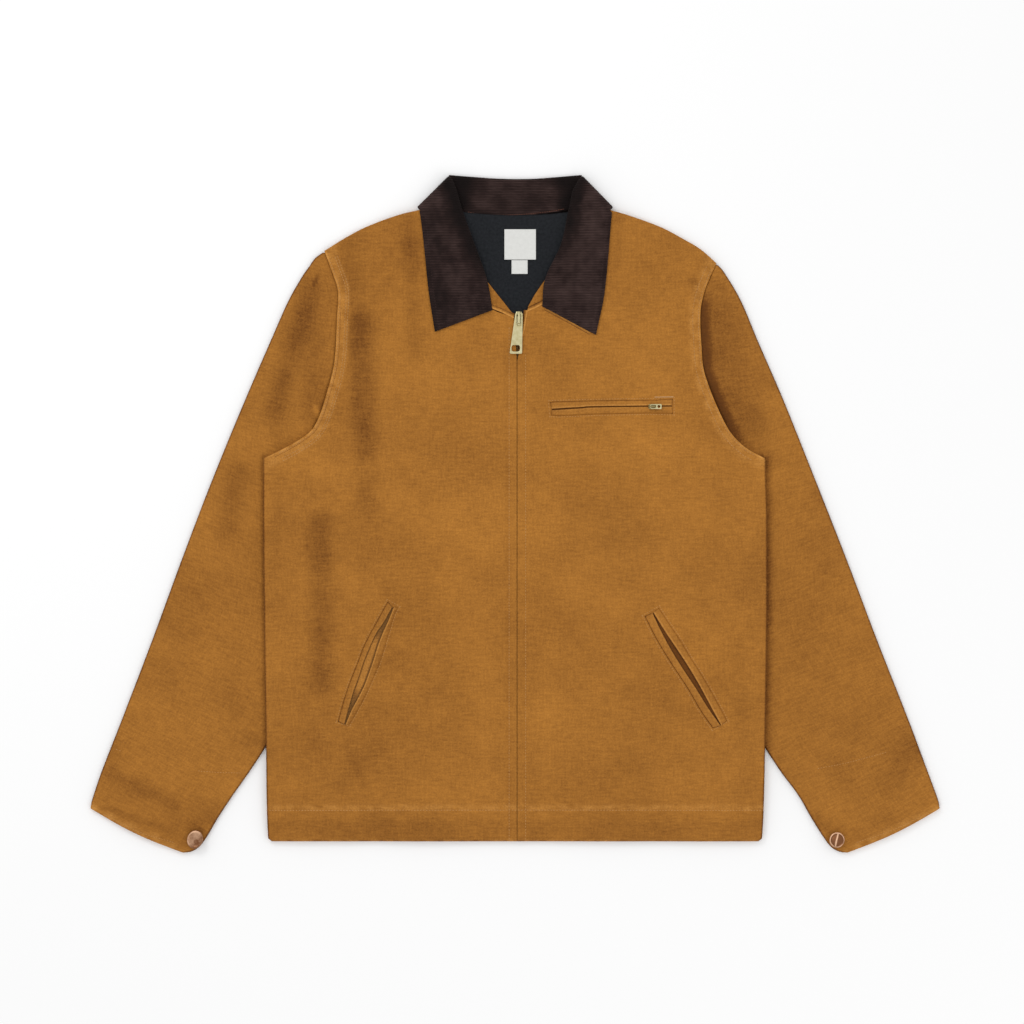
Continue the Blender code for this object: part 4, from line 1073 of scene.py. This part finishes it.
# each pocket: its outer sewn lines and the two edges of its slit, all from the same end
# facing: tone inside the slit, its darker values painted shade, shadow: how dark the painted shadow gets,
# wedge: as far from the ends as that reaches
# frame: how dark the painted shade along the lower and the upper welt's border is, sewn: rows by line,
# distance and side of it
# spread: across the slit, from and to, in how many points
pockets = {
    "handLeft": {
        "outerA": [(-142.6, -98), (-153.1, -117), (-168.5, -145.9), (-175.5, -164.1), (-183.6, -184.5),
                   (-191.6, -208), (-198.2, -232.3)],
        "slitA": [(-137.4, -104), (-147.3, -121.8), (-155, -133), (-161.8, -147), (-169.3, -165.3),
                  (-175.7, -184.5), (-181.4, -200.5), (-186, -216.7), (-191, -235.7)],
        "slitB": [(-136.2, -104.6), (-142.3, -119.6), (-147.6, -131.2), (-153.1, -144.9), (-158.4, -162),
                  (-164.3, -179.1), (-169.1, -192), (-176, -206), (-183, -219), (-190.1, -236)],
        "outerB": [(-131, -104.6), (-135, -112), (-142.4, -136.2), (-150.9, -164.1), (-160.6, -187.8),
                   (-171.2, -210.3), (-185.2, -235.2)],
        "facing": -0.02, "shadow": 1.3, "frame": (0.7, 0.1), "wedge": (24, 46),
        "sewn": [("outerA", 1.7, -1), ("outerB", 1.2, 1)], "spread": (-0.18, 1.18, 17), "worn": 0.3,
    },
    "handRight": {
        "outerA": [(145, -114.5), (159, -141.7), (173.7, -165.9), (194.1, -197.1), (207.6, -220.4),
                   (221.2, -239.9)],
        "slitA": [(153.8, -110.6), (164, -132), (175.6, -153.4), (188.3, -173.8), (201.8, -194.2),
                  (216.4, -217.5), (230, -236.9)],
        "slitB": [(154.6, -110.3), (167.9, -131.9), (180.4, -150.5), (193.1, -169.9), (205.7, -191.2),
                  (219.3, -216.4), (230.4, -236.7)],
        "outerB": [(161, -105.2), (172.7, -123.3), (183.3, -138.8), (196, -160.1), (209.6, -181.5),
                   (226.1, -210.6), (236.8, -231.1)],
        "facing": -0.66, "shadow": 0.4, "frame": (0.75, 0.3), "wedge": (8, 22),
        "sewn": [("outerA", 1.9, -1), ("outerB", 1.6, 1)], "spread": (-0.18, 1.18, 17), "worn": 0,
    },
    "chest": {
        "outerA": [(40.5, 110.4), (48, 110), (88, 111.6), (146, 112.8), (176.5, 112.4)],
        "slitA": [(40.9, 116.4), (60.7, 117.6), (74, 118.4), (82, 119.3), (121, 120), (145, 120.3),
                  (176, 120.5)],
        "slitB": [(40.6, 117.6), (60.7, 118.9), (74, 119.6), (82, 120.4), (121, 120.9), (145, 121.2),
                  (176, 121.3)],
        "outerB": [(39, 125.4), (43, 125.8), (104, 127.3), (157, 127.9), (176.5, 129)],
        "facing": -0.95, "shadow": 0.0, "frame": (0.3, 0.5), "wedge": (8, 22),
        "sewn": [("outerA", 1.4, -1), ("outerB", 1.5, 1)], "spread": (-0.6, 1.6, 9), "worn": 0,
    },
}
pocketNodes = {"handLeft": "hand_pocket_left", "handRight": "hand_pocket_right", "chest": "chest_pocket"}


def ribbon(key, first, second, across, ends):
    # a grid between two of a pocket's lines, and how far each point is from the lines and the ends
    lineA, lineB = (smoothCurve(pockets[key][line]) for line in (first, second))
    length = curveLengths(lineA)[-1]
    along = spacedShares(length, int(length / 1.5))
    startAt, endAt = ends
    a, b = onCurve(lineA, mix(startAt, endAt, along)), onCurve(lineB, mix(startAt, endAt, along))
    place = a[:, None] + (b - a)[:, None] * across[None, :, None]
    width = np.linalg.norm(b - a, axis=1)[:, None]
    toFirst, toSecond = width * across, width * (1 - across)
    toEnd = (np.minimum(along, 1 - along) * length)[:, None] + 0 * toFirst
    return place, toFirst, toSecond, toEnd


def paintGrid(piece, name, middle, values):  # values given on a thick piece's grid, found again by place
    tree = KDTree(middle.shape[0] * middle.shape[1])
    for index, (x, y, _) in enumerate(middle.reshape(-1, 3)):
        tree.insert((x, y, 0), index)
    tree.balance()
    flat = values.reshape(-1)
    paint(piece, name, [flat[tree.find((x, y, 0))[1]] for x, y, _ in places(piece)])


def makePocket(key):
    pocket = pockets[key]
    across = spacedShares(7, 11, (0, 0.15, 0.5, 1.0))
    for label, first, second in (("lower", "outerA", "slitA"), ("upper", "slitB", "outerB")):
        place, toFirst, toSecond, toEnd = ribbon(key, first, second, across, (0, 1))
        toSlit, toOuter = (toSecond, toFirst) if label == "lower" else (toFirst, toSecond)
        x, y = place[:, :, 0], place[:, :, 1]
        height = frontTop(x, y) + 0.12 + 0.75 * smoothStep(0.2, 2.2, toOuter) * smoothStep(0, 2.5, toEnd)
        height += 0.3 * np.exp(-((toSlit - 1.2) / 1.2) ** 2)
        frameShade = pocket["frame"][label == "upper"]
        middle = np.dstack([place, height])
        piece = thickPiece(f"{key}Welt{label.title()}", middle, place, 0.4)
        # painted shade along the welt's outer border, across its ends and at its slit edge
        tone = toneAndShadeAt(x, y) - 0.06 - frameShade * bump(toOuter - 0.2, 1.1) - 0.45 * bump(toSlit, 0.7)
        tone -= frameShade * bump(toEnd - 0.2, 1.0) * (toSlit > 0.8)
        paintGrid(piece, "tone", middle, tone)
        # paler along the rolled slit edge: a painted highlight on the roll, with wear
        rolledHighlight = 0.6 if label == "upper" else 0.15
        paintGrid(piece, "worn", middle, 0.1 * smoothStep(1, 3, toOuter) + rolledHighlight * bump(toSlit - 1.2, 1.0))
        dress(piece, canvas, [f"{pocketNodes[key]}_welt_{label}"])
    # what shows inside the slit: the pocket's own facing, with the welts' shadow painted on it at the ends
    # and under the welts' edges
    low, high, count = pocket["spread"]
    spread = mix(low, high, np.linspace(0, 1, count))
    place, toFirst, toSecond, toEnd = ribbon(key, "slitA", "slitB", spread, (0.004, 0.996))
    x, y = place[:, :, 0], place[:, :, 1]
    height = frontTop(x, y) + 0.05 - 0.12 * np.minimum(1, (toFirst + toSecond) / 4)
    middle = np.dstack([place, height])
    piece = thickPiece(f"{key}Facing", middle, place, 0.3)
    tone = toneAndShadeAt(x, y) + pocket["facing"] - pocket["shadow"] * (1 - smoothStep(*pocket["wedge"], toEnd))
    overhangShade = 0.7 * bump(toFirst, 1.6) + 1.1 * bump(toSecond, 2.3) * smoothStep(20, 50, toEnd)
    tone -= pocket["shadow"] * overhangShade
    paintGrid(piece, "tone", middle, tone)
    paintGrid(piece, "worn", middle, 0 * tone + pocket["worn"])
    dress(piece, canvas)


for key in pockets:
    makePocket(key)
print("tapes and pockets made")


# the turned neck edges of the fronts, down to the facings
lips = {
    "lipLeft": {"top": [(-33, 232.5), (-16, 226), (-1.5, 218.6)],
                "low": [(-30.5, 237.5), (-15, 231.5), (-0.2, 224.6)]},
    "lipRight": {"top": [(13.2, 226.4), (22, 230), (33, 235.5)],
                 "low": [(14.6, 232.2), (23, 235.6), (32.5, 241)]},
    "underCollar": {"top": [(34.5, 230.8), (58.6, 217.8), (84.8, 203.4)],
                    "low": [(33, 228), (57.2, 215.2), (83, 200.8)]},
    "lipZip": {"top": [(5.8, 188), (10, 203.5), (14.6, 228)],
               "low": [(3.4, 190), (6.2, 204), (9.8, 229)]},
}


def makeLip(name):
    across = spacedShares(6, 9, (0, 0.2, 0.6))
    top, low = (smoothCurve(lips[name][line]) for line in ("top", "low"))
    along = spacedShares(curveLengths(top)[-1], 26, (0, 0.3, 0.8))
    a, b = onCurve(top, along), onCurve(low, along)
    place = a[:, None] + (b - a)[:, None] * across[None, :, None]
    x, y = place[:, :, 0], place[:, :, 1]
    high = frontTop(x, y) - 0.15
    deep = high if name == "underCollar" else onLining(x, y) + 0.9
    height = mix(high, deep, smoothStep(0.25, 1, across)[None, :]) + 0.1 * np.sin(x * 0.9 + y * 0.7)
    middle = np.dstack([place, height])
    piece = thickPiece(name, middle, place, 0.5)
    shade(piece, lambda x, y: toneAndShadeAt(x, y) - 0.05)
    # paler along the lip's rolled crest: a painted highlight with wear
    paintGrid(piece, "worn", middle, (0 * x + 0.8 * bump(across - 0.2, 0.25) + 0.15))
    # painted shade towards each lip's far side, where it turns down to the facings, and for the under-collar
    # lip, under the collar
    paintGrid(piece, "tone", middle, (0 * x - 0.7 * smoothStep(0.5, 1, across)[None, :]))
    return dress(piece, canvas)


for name in lips:
    makeLip(name)

# sewing: each row is a line of points that short threads are set along

def topOf(*pieces):
    trees = []
    for piece in pieces:
        corners = [vertex.co for vertex in piece.data.vertices]
        trees.append(BVHTree.FromPolygons(corners, [polygon.vertices for polygon in piece.data.polygons]))
    def height(x, y):
        hits = [tree.ray_cast(Vector((x * mm, y * mm, 0.1)), Vector((0, 0, -1)))[0] for tree in trees]
        return max([hit.z / mm for hit in hits if hit is not None], default=None)
    return height


def lineOn(height, points, rise, spacing=1.2):  # a line laid on a surface, as far as there is one below it
    points = np.array(points, float)
    count = max(2, int(curveLengths(points)[-1] / spacing))
    flat = onCurve(points, np.linspace(0, 1, count))
    placed = [(x, y, height(x, y)) for x, y in flat]
    return np.array([(x, y, z + rise) for x, y, z in placed if z is not None])


def linesMesh(name, lines):
    corners, edges = [], []
    for line in lines:
        edges += [(len(corners) + i, len(corners) + i + 1) for i in range(len(line) - 1)]
        corners += [tuple(point * mm) for point in line]
    mesh = bpy.data.meshes.new(name)
    mesh.from_pydata(corners, edges, [])
    return addPiece(name, mesh)


def link(tree, start, output, end, entry):
    tree.links.new(start.outputs[output], end.inputs[entry])


def repeatTree(name, shape):
    # a group that sets small shapes along lines: shape is the node type of one repeat and its settings
    tree = bpy.data.node_groups.new(name, "GeometryNodeTree")
    face = tree.interface
    face.new_socket("Geometry", in_out="INPUT", socket_type="NodeSocketGeometry")
    for label, start in (("Pitch", 0.0033), ("Length", 0.0025), ("Width", 0.0008), ("Height", 0.0005),
                         ("Turn", 0.05), ("Change", 0.1)):
        face.new_socket(label, in_out="INPUT", socket_type="NodeSocketFloat").default_value = start
    face.new_socket("Seed", in_out="INPUT", socket_type="NodeSocketInt")
    face.new_socket("Material", in_out="INPUT", socket_type="NodeSocketMaterial")
    face.new_socket("Geometry", in_out="OUTPUT", socket_type="NodeSocketGeometry")
    entry, leave = put(tree, "NodeGroupInput"), put(tree, "NodeGroupOutput")
    curve = put(tree, "GeometryNodeMeshToCurve")
    even = put(tree, "GeometryNodeResampleCurve", mode="LENGTH")
    tangent = put(tree, "GeometryNodeInputTangent")
    aligned = put(tree, "FunctionNodeAlignRotationToVector", axis="X")
    turn = put(tree, "FunctionNodeRandomValue", data_type="FLOAT")
    back = put(tree, "ShaderNodeMath", operation="MULTIPLY")
    back.inputs[1].default_value = -1
    turned = put(tree, "FunctionNodeRotateRotation", rotation_space="LOCAL")
    euler = put(tree, "ShaderNodeCombineXYZ")
    size = put(tree, "ShaderNodeCombineXYZ")
    change = put(tree, "FunctionNodeRandomValue", data_type="FLOAT")
    low = put(tree, "ShaderNodeMath", operation="SUBTRACT")
    high = put(tree, "ShaderNodeMath", operation="ADD")
    low.inputs[0].default_value = high.inputs[0].default_value = 1
    scaledSize = put(tree, "ShaderNodeVectorMath", operation="SCALE")
    one = put(tree, shape["node"], shape["inputs"])
    spread = put(tree, "GeometryNodeInstanceOnPoints")
    real = put(tree, "GeometryNodeRealizeInstances")
    smooth = put(tree, "GeometryNodeSetShadeSmooth")
    dyed = put(tree, "GeometryNodeSetMaterial")
    for start, output, end, socket in (
            (entry, "Geometry", curve, "Mesh"), (curve, "Curve", even, "Curve"),
            (entry, "Pitch", even, "Length"), (even, "Curve", spread, "Points"),
            (tangent, "Tangent", aligned, "Vector"), (entry, "Turn", back, 0), (back, 0, turn, 2),
            (entry, "Turn", turn, 3), (entry, "Seed", turn, "Seed"), (turn, 1, euler, "Z"),
            (aligned, "Rotation", turned, "Rotation"), (euler, "Vector", turned, "Rotate By"),
            (turned, "Rotation", spread, "Rotation"), (entry, "Length", size, "X"),
            (entry, "Width", size, "Y"), (entry, "Height", size, "Z"), (entry, "Change", low, 1),
            (entry, "Change", high, 1), (low, 0, change, 2), (high, 0, change, 3),
            (entry, "Seed", change, "Seed"), (size, "Vector", scaledSize, 0),
            (change, 1, scaledSize, "Scale"), (scaledSize, 0, spread, "Scale"),
            (one, "Mesh", spread, "Instance"), (spread, "Instances", real, "Geometry"),
            (real, "Geometry", smooth, "Geometry"), (smooth, "Geometry", dyed, "Geometry"),
            (entry, "Material", dyed, "Material"), (dyed, "Geometry", leave, "Geometry")):
        link(tree, start, output, end, socket)
    return tree


stitchTree = repeatTree("stitchesAlongLines", {"node": "GeometryNodeMeshUVSphere",
                                               "inputs": {"Segments": 6, "Rings": 4, "Radius": 0.5}})
toothTree = repeatTree("teethAlongLines", {"node": "GeometryNodeMeshCube", "inputs": {"Size": (1, 1, 1)}})


# Pitch, Length, Width and Height in millimetres, Turn in radians, Change as a share, and the Seed
stitches = {
    "bodySewing": (3.3, 2.6, 0.75, 0.5, 0.12, 0.12, 3),
    "pocketSewing": (3.0, 2.3, 0.65, 0.45, 0.12, 0.12, 4),
    "pocketTack": (1.4, 1.7, 1.1, 0.7, 0.1, 0.1, 5),
    "sleeveSewing": (3.0, 2.3, 0.6, 0.4, 0.12, 0.12, 6),
    "armholeSeam": (1.9, 2.2, 0.7, 0.5, 0.08, 0.1, 7),
    "collarSewing": (3.2, 2.5, 0.7, 0.45, 0.1, 0.1, 8),
    "standSewing": (2.6, 2.3, 0.7, 0.5, 0.1, 0.1, 9),
    "labelSewing": (1.8, 1.4, 0.4, 0.3, 0.1, 0.1, 10),
    "zipTeeth": (1.6, 0.8, 4.6, 1.3, 0.0, 0.0, 11),
}


def sew(name, lines, material, tree=stitchTree):
    piece = linesMesh(name, lines)
    repeat = piece.modifiers.new("repeat", "NODES")
    repeat.node_group = tree
    sockets = {item.name: item.identifier for item in tree.interface.items_tree if item.in_out == "INPUT"}
    for label, value in zip(("Pitch", "Length", "Width", "Height", "Turn", "Change", "Seed"), stitches[name]):
        repeat[sockets[label]] = value * mm if label in ("Pitch", "Length", "Width", "Height") else value
    repeat[sockets["Material"]] = material
    bake(piece)
    return dress(piece, material)


# rows of the body's sewing
onFront = topOf(bpy.data.objects["frontLeft"], bpy.data.objects["frontRight"])


def inFromArmhole(side, distance):
    return offsetCurve(armholeLine[side], distance if side == "Right" else -distance)


bodyRowsOfSewing = []
for side, rows in (("Left", (2.2, 9.0, 12.0)), ("Right", (2.4, 8.6))):
    for distance in rows:
        bodyRowsOfSewing.append(lineOn(onFront, inFromArmhole(side, distance)[6:-6], 0.04))
for x0, x1 in ((-279, 0.2), (4.2, 279)):
    bodyRowsOfSewing.append(lineOn(onFront, [(x0, relief["hemStitchY"]), (x1, relief["hemStitchY"])], -0.05))
for x, top in ((relief["zipStitchLeft"], 208), (relief["zipStitchRight"], 178)):
    bodyRowsOfSewing.append(lineOn(onFront, [(x, body["hemY"] + 3), (x, top)], -0.05))
sew("bodySewing", bodyRowsOfSewing, tanThread)
onAll = topOf(*(piece for piece in bpy.data.objects if piece.name.startswith(("front", "hand", "chest"))
                and not piece.name.endswith("Facing") and "_" not in piece.name))
onSleeves = topOf(bpy.data.objects["sleeveLeft"], bpy.data.objects["sleeveRight"])
onLeaf, onStand = topOf(bpy.data.objects["collarLeaf"]), topOf(bpy.data.objects["collarStand"])
onLabels = topOf(bpy.data.objects["neckLabel"], bpy.data.objects["sizeLabel"])


def framedPocket(key):  # the sewn frame round a pocket's outer lines
    first, second = (offsetCurve(smoothCurve(pockets[key][line]), distance * way)
                     for line, distance, way in pockets[key]["sewn"])
    rows = [first, second]
    for end, inward in ((0, 1), (-1, -2)):
        past = first[end] - first[inward]
        past = past / np.linalg.norm(past) * 1.7  # the end rows lie 1.7 mm past the lines
        rows.append(np.array([first[end] + past, second[end] + past]))
    return rows


pocketRows = [lineOn(onAll, line, -0.05) for key in pockets for line in framedPocket(key)]
sew("pocketSewing", pocketRows, tanThread)
sew("pocketTack", [lineOn(onAll, [(157, 130.9), (176.5, 131.2)], 0.1)], tackThread)

paleRows = [[(-354.5, -288.1), (-332, -289.8), (-308.6, -290.4)], [(-447, -264), (-443, -265.5)],
            [(339.9, -285.3), (372.4, -278.6), (415, -267.4)], [(-461, -337), (-420, -357), (-384, -368)],
            [(463, -336), (420, -356), (384, -368)]]
paleRows = [lineOn(onSleeves, smoothCurve(row) if len(row) > 2 else row, -0.05) for row in paleRows]
sew("sleeveSewing", paleRows, tanThread)
# a dark close row along the left armhole seam: sewn thread and painted shade in the seam's groove
sew("armholeSeam", [lineOn(onFront, inFromArmhole("Left", 4.0)[4:64], -0.12)], seamShadeThread)

collarRows = []
for side, outward in (("Left", 1), ("Right", -1)):
    table = np.array(collar["front" + side], float)
    edge = smoothCurve(table[:, 2:])
    line = offsetCurve(edge, -5.5 * outward)[2:-8]
    collarRows.append(lineOn(onLeaf, line, -0.1))
    low = np.array([table[0, :2], table[0, 2:]])
    low = low + (low[1] - low[0]) / np.linalg.norm(low[1] - low[0]) * np.array([[4.0], [-5.5]]) + [0, 6.3]
    collarRows.append(lineOn(onLeaf, low, -0.1))
sew("collarSewing", collarRows, darkThread)
seamLine = [(-52, 338.4), (-40, 336.2), (-15, 335.1), (15, 336.4), (42, 339.6), (54, 341.8)]
sew("standSewing", [lineOn(onStand, smoothCurve(seamLine), -0.05)], russetThread)
labelRows = []
for left, right, low, high in (neck["label"], neck["sizeLabel"]):
    corners = [(left + 1, low + 1), (right - 1, low + 1), (right - 1, high - 1), (left + 1, high - 1)]
    labelRows += [lineOn(onLabels, pair, 0.0) for pair in zip(corners, corners[1:] + corners[:1])]
sew("labelSewing", labelRows, whiteThread)


def teethHeight(x, y):
    return float(underFronts(x, y) - zipTapes["teethBelow"])


teethEnds = [(body["closingX"], zipTapes["low"] + 2), (body["closingX"], zipTapes["high"] - 2)]
sew("zipTeeth", [lineOn(teethHeight, teethEnds, 0)], brassInPaintedShade, toothTree)
print("sewing done")


# metal: the sliders and pull tabs with their edges rounded, and lathe-turned buttons

def softened(node, name, bodyName, width, material):
    mesh = frame["nodes"][node].data.copy()
    shape = bmesh.new()
    shape.from_mesh(mesh)
    bmesh.ops.remove_doubles(shape, verts=shape.verts, dist=1e-6)
    bmesh.ops.dissolve_limit(shape, angle_limit=math.radians(1), verts=shape.verts, edges=shape.edges)
    shape.to_mesh(mesh)
    shape.free()
    piece = addPiece(name, mesh)
    bevel = piece.modifiers.new("edges", "BEVEL")
    bevel.width = width * mm
    bevel.segments = 3
    bevel.limit_method = "ANGLE"
    bevel.angle_limit = math.radians(35)
    bake(piece)
    piece.data.shade_smooth()
    return dress(piece, material, [node], bodyName)


def roundedOutline(corners, radius, steps=6):  # a polygon with each corner rounded
    corners = np.array(corners, float)
    points = []
    for before, here, after in zip(np.roll(corners, 1, 0), corners, np.roll(corners, -1, 0)):
        back, ahead = before - here, after - here
        cut = min(radius, np.linalg.norm(back) / 2.01, np.linalg.norm(ahead) / 2.01)
        start = here + back / np.linalg.norm(back) * cut
        end = here + ahead / np.linalg.norm(ahead) * cut
        for step in range(steps + 1):
            t = step / steps
            points.append((1 - t) ** 2 * start + 2 * t * (1 - t) * here + t * t * end)
    return points


def boxOutline(left, right, low, high):
    return [(left, low), (right, low), (right, high), (left, high)]


def plate(name, outlines, half, rim, height, node, bodyName):
    # a flat pressed piece with holes and rounded rims, its middle at a height
    shape = bpy.data.curves.new(name, "CURVE")
    shape.dimensions = "2D"
    shape.fill_mode = "BOTH"
    shape.extrude = (half - rim) * mm
    shape.bevel_depth = rim * mm
    shape.bevel_resolution = 3
    shape.offset = -rim * mm
    for outline in outlines:
        line = shape.splines.new("POLY")
        line.points.add(len(outline) - 1)
        for point, (x, y) in zip(line.points, outline):
            point.co = (x * mm, y * mm, 0, 1)
        line.use_cyclic_u = True
    drawn = bpy.data.objects.new(name + "Drawn", shape)
    bpy.context.scene.collection.objects.link(drawn)
    mesh = bpy.data.meshes.new_from_object(drawn.evaluated_get(bpy.context.evaluated_depsgraph_get()))
    bpy.data.objects.remove(drawn)
    solid = bmesh.new()
    solid.from_mesh(mesh)
    bmesh.ops.remove_doubles(solid, verts=solid.verts, dist=2e-6)
    bmesh.ops.translate(solid, verts=solid.verts, vec=(0, 0, height * mm))
    bmesh.ops.recalc_face_normals(solid, faces=solid.faces)
    solid.to_mesh(mesh)
    solid.free()
    mesh.materials.clear()
    mesh.shade_smooth()
    mesh.set_sharp_from_angle(angle=math.radians(40))
    return dress(addPiece(name, mesh), brass, [node], bodyName)


# outlines from above, in millimetres; the hinges lie at the ends named first
pulls = {
    "zip": {"edge": [(-0.2, 225), (8.6, 225), (8.6, 222), (7.9, 179.3), (-6.4, 179.3), (-0.2, 222)],
            "corner": 2.0, "eye": (1.9, 6.5, 211, 223.4), "hole": (-4.0, 5.3, 182, 189), "holeCorner": 2.6,
            "half": 0.8, "rim": 0.45, "height": 8.37, "body": "zip_pull_tab"},
    "chest": {"edge": [(151, 117.7), (164, 117.2), (164, 123.2), (151, 122.7)], "corner": 1.7,
              "eye": (152, 157.6, 118.7, 121.7), "hole": (159.3, 162.3, 118.6, 121.8), "holeCorner": 1.4,
              "half": 0.5, "rim": 0.3, "height": 12.05, "body": "chest_pull_tab"},
}
for key, pull in pulls.items():
    outlines = [roundedOutline(pull["edge"], pull["corner"]), roundedOutline(boxOutline(*pull["eye"]), 0.9),
                roundedOutline(boxOutline(*pull["hole"]), pull["holeCorner"])]
    plate(key + "Pull", outlines, pull["half"], pull["rim"], pull["height"], key + "_pull", pull["body"])
softened("zip_slider", "zipSlider", "jacket", 0.35, brass)
softened("chest_slider", "chestSlider", "jacket", 0.25, brassInPaintedShade)


def lathe(name, profile, centre, steps=64, tilt=(0, 0), scale=(1, 1), lean=0):
    # a closed turned shape from its profile of radius and height, a little oval, leaning and tilted
    points, faces = [], []
    for step in range(steps):
        angle = 2 * math.pi * step / steps
        for radius, height in profile:
            wide, long = radius * math.cos(angle) * scale[0], radius * math.sin(angle) * scale[1]
            x = wide * math.cos(lean) - long * math.sin(lean)
            y = wide * math.sin(lean) + long * math.cos(lean)
            points.append(((centre[0] + x) * mm, (centre[1] + y) * mm,
                           (centre[2] + height + tilt[0] * x + tilt[1] * y) * mm))
    count = len(profile)
    for step in range(steps):
        here, ahead = step * count, (step + 1) % steps * count
        for row in range(count - 1):
            faces.append((here + row, ahead + row, ahead + row + 1, here + row + 1))
    mesh = bpy.data.meshes.new(name)
    mesh.from_pydata(points, [], faces)
    shape = bmesh.new()
    shape.from_mesh(mesh)
    bmesh.ops.remove_doubles(shape, verts=shape.verts, dist=1e-7)
    bmesh.ops.recalc_face_normals(shape, faces=shape.faces)
    shape.to_mesh(mesh)
    shape.free()
    mesh.shade_smooth()
    return addPiece(name, mesh)


def leftButtonHighlightAndShade(x, y):  # tumbled, with a pale upper left rim
    radius = np.hypot(x, y)
    # painted highlight on the upper left rim, painted shade towards the lower right, and a darker ring
    rim = smoothStep(7.2, 8.2, radius) * smoothStep(-3, 6, y - x)
    return 0.5 * rim - 0.28 * smoothStep(-1, 6, x - y) - 0.25 * bump(np.hypot(x - 1.5, y + 3) - 2, 2.2) - 0.05


def rightButtonReflectionAndTone(x, y):  # dark and brushed, with one bright slanted streak
    radius = np.hypot(x, y)
    # painted reflection: one bright slanted streak across the face; painted highlight on the upper rim
    rim = smoothStep(6.8, 7.6, radius)
    across = x - 0.22 * y + 0.4
    face = -0.85 + 0.2 * np.sin(across * 3.1) + 1.9 * bump(across, 1.6)
    return mix(face, 0.5 * smoothStep(-6, 6, y - 0.4 * x) + 0.1, rim)


buttons = {
    "left": {"node": "cuff_button_left", "tilt": (0.05, 0.04), "scale": (0.93, 1.08), "lean": -0.35,
             "tone": leftButtonHighlightAndShade},
    "right": {"node": "cuff_button_right", "tilt": (-0.05, 0.05), "scale": (0.9, 0.92), "lean": 0.0,
              "tone": rightButtonReflectionAndTone},
    # radius and height up from the button's base, from the face's middle round to the back
    "face": [(0, 2.9), (4.4, 3.2), (6.4, 3.55), (7.4, 4.0), (7.9, 4.4), (8.4, 4.6)],
    "back": [(8.9, 4.5), (9.3, 4.15), (9.55, 3.6), (9.5, 3.1), (9.1, 2.75), (7.6, 2.45), (3.4, 2.2),
             (3.0, 1.6), (2.9, 0.5), (3.6, 0.2), (3.8, 0), (0, 0)],
    "rings": 22,
}
face = np.array(buttons["face"])
ringRadius = np.linspace(0, face[-1][0], buttons["rings"])
profile = [(radius, np.interp(radius, face[:, 0], face[:, 1])) for radius in ringRadius] + buttons["back"]
for side in ("left", "right"):
    button = buttons[side]
    low, high = (np.array(corner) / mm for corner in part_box(button["node"]))
    centre = (*((low + high) / 2)[:2], low[2])
    piece = lathe("cuffButton" + side.title(), profile, centre, tilt=button["tilt"], scale=button["scale"],
                  lean=button["lean"])
    dress(piece, copper, [button["node"]])
    # the button's sides and back get painted shade
    paint(piece, "tone", [button["tone"](x - centre[0], y - centre[1]) if z > centre[2] + 2.8 else -0.2
                          for x, y, z in places(piece)])
print("metal made")
# floor, light and camera

view = {"width": 1.1500, "centre": (-0.0035, 0.0022), "height": 3.0, "floor": 0.95, "sky": 0.92, "key": 7.0,
        "fill": 3.0, "floorReach": 6}

floorMaterial, _, floorShader = newMaterial("paper", 0.9)
floorShader.inputs["Base Color"].default_value = (view["floor"], view["floor"], view["floor"], 1)
floorShader.inputs["Specular IOR Level"].default_value = 0.0
floorMesh = bpy.data.meshes.new("floor")
reach = view["floorReach"]
floorCorners = [(-reach, -reach, 0), (reach, -reach, 0), (reach, reach, 0), (-reach, reach, 0)]
floorMesh.from_pydata(floorCorners, [], [(0, 1, 2, 3)])
floor = addPiece("floor", floorMesh)
floor.data.materials.append(floorMaterial)

world = bpy.data.worlds.new("studio")
bpy.context.scene.world = world
world.use_nodes = True
world.node_tree.nodes["Background"].inputs["Color"].default_value = (1, 1, 1, 1)
world.node_tree.nodes["Background"].inputs["Strength"].default_value = view["sky"]


def areaLight(name, place, target, size, power):
    light = bpy.data.lights.new(name, "AREA")
    light.shape = "DISK"
    light.size = size
    light.energy = power
    lamp = bpy.data.objects.new(name, light)
    lamp.location = place
    lamp.rotation_euler = (Vector(target) - Vector(place)).to_track_quat("-Z", "Y").to_euler()
    bpy.context.scene.collection.objects.link(lamp)


areaLight("key", (-1.1, 1.3, 1.5), (0, 0, 0), 0.7, view["key"])
areaLight("fill", (1.3, -1.2, 1.6), (0, 0, 0), 0.7, view["fill"])

camera = bpy.data.cameras.new("camera")
camera.lens = 36 * view["height"] / view["width"]
camera.sensor_width = 36
camera.clip_end = 50
cameraObject = bpy.data.objects.new("camera", camera)
cameraObject.location = (*view["centre"], view["height"])
bpy.context.scene.collection.objects.link(cameraObject)
bpy.context.scene.camera = cameraObject
bpy.context.scene.view_settings.view_transform = "Standard"

print("floor, light and camera set")
